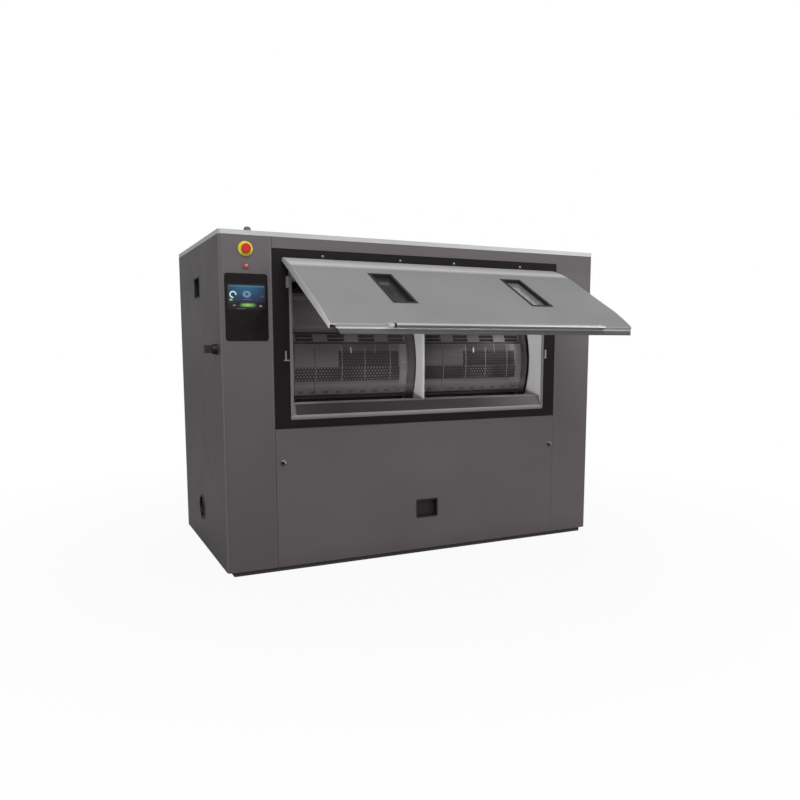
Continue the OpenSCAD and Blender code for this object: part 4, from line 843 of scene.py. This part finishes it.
def door_skin(name, place, body, replaced, material):
    """Bent door sheet: closed ends, window openings, finger space, left end cut back at the lip."""
    full, finger, first, last = sheet_sections()
    window_row = full.index((SHEET_FACE, WINDOW_Z[1]))
    edges = [MID + side * WINDOW_X + half for side in (-1, 1) for half in (-WINDOW_HALF, WINDOW_HALF)]
    columns = [DOOR_LEFT, FINGER[0], *edges, FINGER[1], DOOR_RIGHT]
    end_spans, window_spans = (0, len(columns) - 2), (2, 4)
    lip_z, cut, slant, lip_out = LIP_FOLD[1] + 0.0025, 0.015, 0.037, 0.044
    bm = bmesh.new()

    def column(x, section, trimmed=False):
        made = []
        for out, z in section:
            shift = cut + slant * (lip_out - out) / lip_out if trimmed and z < lip_z else 0.0
            made.append(bm.verts.new(place(x + shift, out, z)))
        return made

    ends = []
    for span in range(len(columns) - 1):
        section = full if span in end_spans else finger
        left = column(columns[span], section, trimmed=span == 0)
        right = column(columns[span + 1], section)
        for i in range(len(full) - 1):
            if span not in window_spans or i != window_row:
                bm.faces.new((left[i], left[i + 1], right[i + 1], right[i]))
        if span in end_spans:
            ends.append(left if span == 0 else right)
    # Side walls of the finger space
    wall = full[first : last + 1] + finger[first + 1 : last][::-1]
    for x in FINGER:
        bm.faces.new([bm.verts.new(place(x, out, z)) for out, z in wall])
    # End walls, back to the liner, down to the toe of the lip
    toe_z = LIP_FOLD[1] + 0.0026
    for edge, x in zip(ends, (DOOR_LEFT, DOOR_RIGHT)):
        inner = [bm.verts.new(place(x, SHEET_BACK, z)) for _, z in full[: first + 1]]
        for i in range(1, first):
            bm.faces.new((edge[i], edge[i + 1], inner[i + 1], inner[i]))
        toe = [edge[i] for i in range(first, last) if full[i][1] > toe_z]
        bm.faces.new(toe + [bm.verts.new(place(x, SHEET_BACK, toe_z)), inner[first]])
    bmesh.ops.remove_doubles(bm, verts=bm.verts, dist=0.00005)
    obj = finish_piece(name, bm, material, body, 35.0)
    sheet = obj.modifiers.new("sheet", "SOLIDIFY")
    sheet.thickness, sheet.offset = SHEET_T, -1.0
    roll = obj.modifiers.new("rolled_edges", "BEVEL")
    roll.width, roll.segments = 0.0008, 2
    roll.limit_method, roll.angle_limit = "ANGLE", math.radians(40)
    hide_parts(replaced)


def screw_heads(name, centres, facing, radius, material):
    """Domed screw heads with a cross recess, all facing one way."""
    sides = 24
    dome = ((1.0, 0.0), (1.0, 0.18), (0.86, 0.42), (0.62, 0.56), (0.34, 0.62))
    recess, recess_heights = 0.2, [0.3 if k % 6 == 0 else 0.58 for k in range(sides)]
    turn = Vector(facing).to_track_quat("Z", "Y").to_matrix().to_4x4()
    bm = bmesh.new()
    for centre in centres:
        seat = Matrix.Translation(centre) @ turn

        def ring(width, heights):
            """Ring of points; its width and their heights are shares of the head's radius."""
            turns = [2 * math.pi * k / sides for k in range(sides)]
            spots = [(math.cos(a) * width * radius, math.sin(a) * width * radius) for a in turns]
            return [bm.verts.new(seat @ Vector((*spot, h * radius))) for spot, h in zip(spots, heights)]

        rings = [ring(width, [height] * sides) for width, height in dome]
        rings.append(ring(recess, recess_heights))
        for lower, upper in zip(rings, rings[1:]):
            for k in range(sides):
                after = (k + 1) % sides
                bm.faces.new((lower[k], lower[after], upper[after], upper[k]))
        bm.faces.new(rings[-1])
        bm.faces.new(rings[0][::-1])
    finish_piece(name, bm, material, "cabinet", 50.0)


def hinge_screws(material):
    """A screw on each leaf of the door hinges, front and rear."""
    leaf_x = [MID + side * away for side in (-1, 1) for away in (0.1615, 0.591)]
    leaf_z, leaf_t = 1.595, 0.0039
    for side, name in ((-1, "front_hinge_screws"), (1, "rear_hinge_screws")):
        face = side * (abs(FRONT) + leaf_t)
        screw_heads(name, [Vector((x, face, leaf_z)) for x in leaf_x], (0, side, 0), 0.0048, material)


def rear_screws(material):
    """Screws round the edge of the rear panels; both top corners get theirs from the side and the top row."""
    edge_x, low_z, high_z = 1.085, 0.09, 1.655
    rows, columns = 5, 7
    spots = [(x, low_z + (high_z - low_z) * k / rows) for x in (-edge_x, edge_x) for k in range(rows + 1)]
    across = [-edge_x + 2 * edge_x * k / columns for k in range(columns + 1)]
    spots += [(x, low_z) for x in across[1:-1]]
    spots += [(x, high_z) for x in across]
    face = abs(FRONT) - 0.0002
    screw_heads("rear_panel_screws", [Vector((x, face, z)) for x, z in spots], (0, 1, 0), 0.0055, material)


# Stage


def background(tree, colour, strength):
    made = tree.nodes.new("ShaderNodeBackground")
    made.inputs[0].default_value, made.inputs[1].default_value = colour, strength
    return made


def join_shaders(tree, factor, first, second, output):
    """Show the first shader at factor 0 and the second at factor 1; each is a socket."""
    mix = tree.nodes.new("ShaderNodeMixShader")
    for index, socket in enumerate((factor, first, second)):
        tree.links.new(socket, mix.inputs[index])
    tree.links.new(mix.outputs[0], output.inputs[0])


def make_world():
    """Pure white where the camera looks, also through glass, and a softer white as light."""
    world = bpy.data.worlds.new("studio")
    scene.world = world
    world.use_nodes = True
    tree = world.node_tree
    tree.nodes.clear()
    seen = background(tree, (1, 1, 1, 1), 1.0)
    lit = background(tree, (0.98, 0.985, 1, 1), 0.5)
    path = tree.nodes.new("ShaderNodeLightPath")
    either = tree.nodes.new("ShaderNodeMath")
    either.operation = "MAXIMUM"
    tree.links.new(path.outputs["Is Camera Ray"], either.inputs[0])
    tree.links.new(path.outputs["Is Transmission Ray"], either.inputs[1])
    output = tree.nodes.new("ShaderNodeOutputWorld")
    join_shaders(tree, either.outputs[0], lit.outputs[0], seen.outputs[0], output)


def make_floor():
    """Floor that the camera sees as nearly white round the machine and pure white further out."""
    half = 30
    mesh = bpy.data.meshes.new("floor")
    corners = [(-half, -half, 0), (half, -half, 0), (half, half, 0), (-half, half, 0)]
    mesh.from_pydata(corners, [], [(0, 1, 2, 3)])
    floor = bpy.data.objects.new("floor", mesh)
    scene.collection.objects.link(floor)
    f = Finish("floor_white", Base_Color=(0.4, 0.4, 0.4, 1), Roughness=0.9)
    x, y = f.numbers(f.point(), "XY")
    far = length(x, y).ramp(1.4, 3.2, 0.94, 1.0)
    glow = f.tree.nodes.new("ShaderNodeEmission")
    glow.inputs[0].default_value, glow.inputs[1].default_value = (1, 1, 1, 1), 1.0
    white = f.node("LightPath", {}, {}, out="Is Camera Ray") * far
    join_shaders(f.tree, white.socket, f.shader.outputs[0], glow.outputs[0], f.output)
    mesh.materials.append(f.material)


def lamp(name, place, target, size, watts, spread=180):
    """Rectangular lamp aimed at a target; its spread is in degrees."""
    data = bpy.data.lights.new(name, "AREA")
    data.shape, data.size, data.size_y = "RECTANGLE", *size
    data.energy, data.spread = watts, math.radians(spread)
    obj = bpy.data.objects.new(name, data)
    scene.collection.objects.link(obj)
    obj.location = place
    obj.rotation_euler = (Vector(target) - Vector(place)).to_track_quat("-Z", "Y").to_euler()


def make_stage():
    make_world()
    make_floor()
    lamp("key_lamp", (-1.4, -5.0, 5.0), (0, -0.4, 1.1), (3.2, 2.2), 200)
    lamp("fill_lamp", (4.2, -4.0, 2.6), (0.2, -0.5, 0.9), (3.0, 2.4), 45)
    lamp("back_lamp", (3.6, 5.4, 3.8), (0, -0.8, 1.4), (4.6, 2.2), 330)
    lamp("low_lamp", (-1.85, -2.3, 0.42), (0.3, -0.55, 1.2), (0.5, 0.4), 2.2, spread=36)


make_camera()
by_slot, by_node = slot_finishes(), own_finishes()
dress_nodes(by_slot, by_node)
for name, radius in ROLLED.items():
    soften(name, radius)
for name in ("front_door_liner", "rear_door_liner"):
    inset(name, 0.0008)
door_skin("front_door_sheet", on_front_door, "front_door", "front_door_skin", by_slot["door_grey"])
door_skin("rear_door_sheet", on_rear_door, "rear_door", "rear_door_skin", by_node["rear_door_skin"])
screw_steel = brushed("screw_steel", srgb(214, 213, 213), "x", 0.3)
hinge_screws(screw_steel)
rear_screws(screw_steel)
make_stage()

scene.view_settings.view_transform = "Standard"
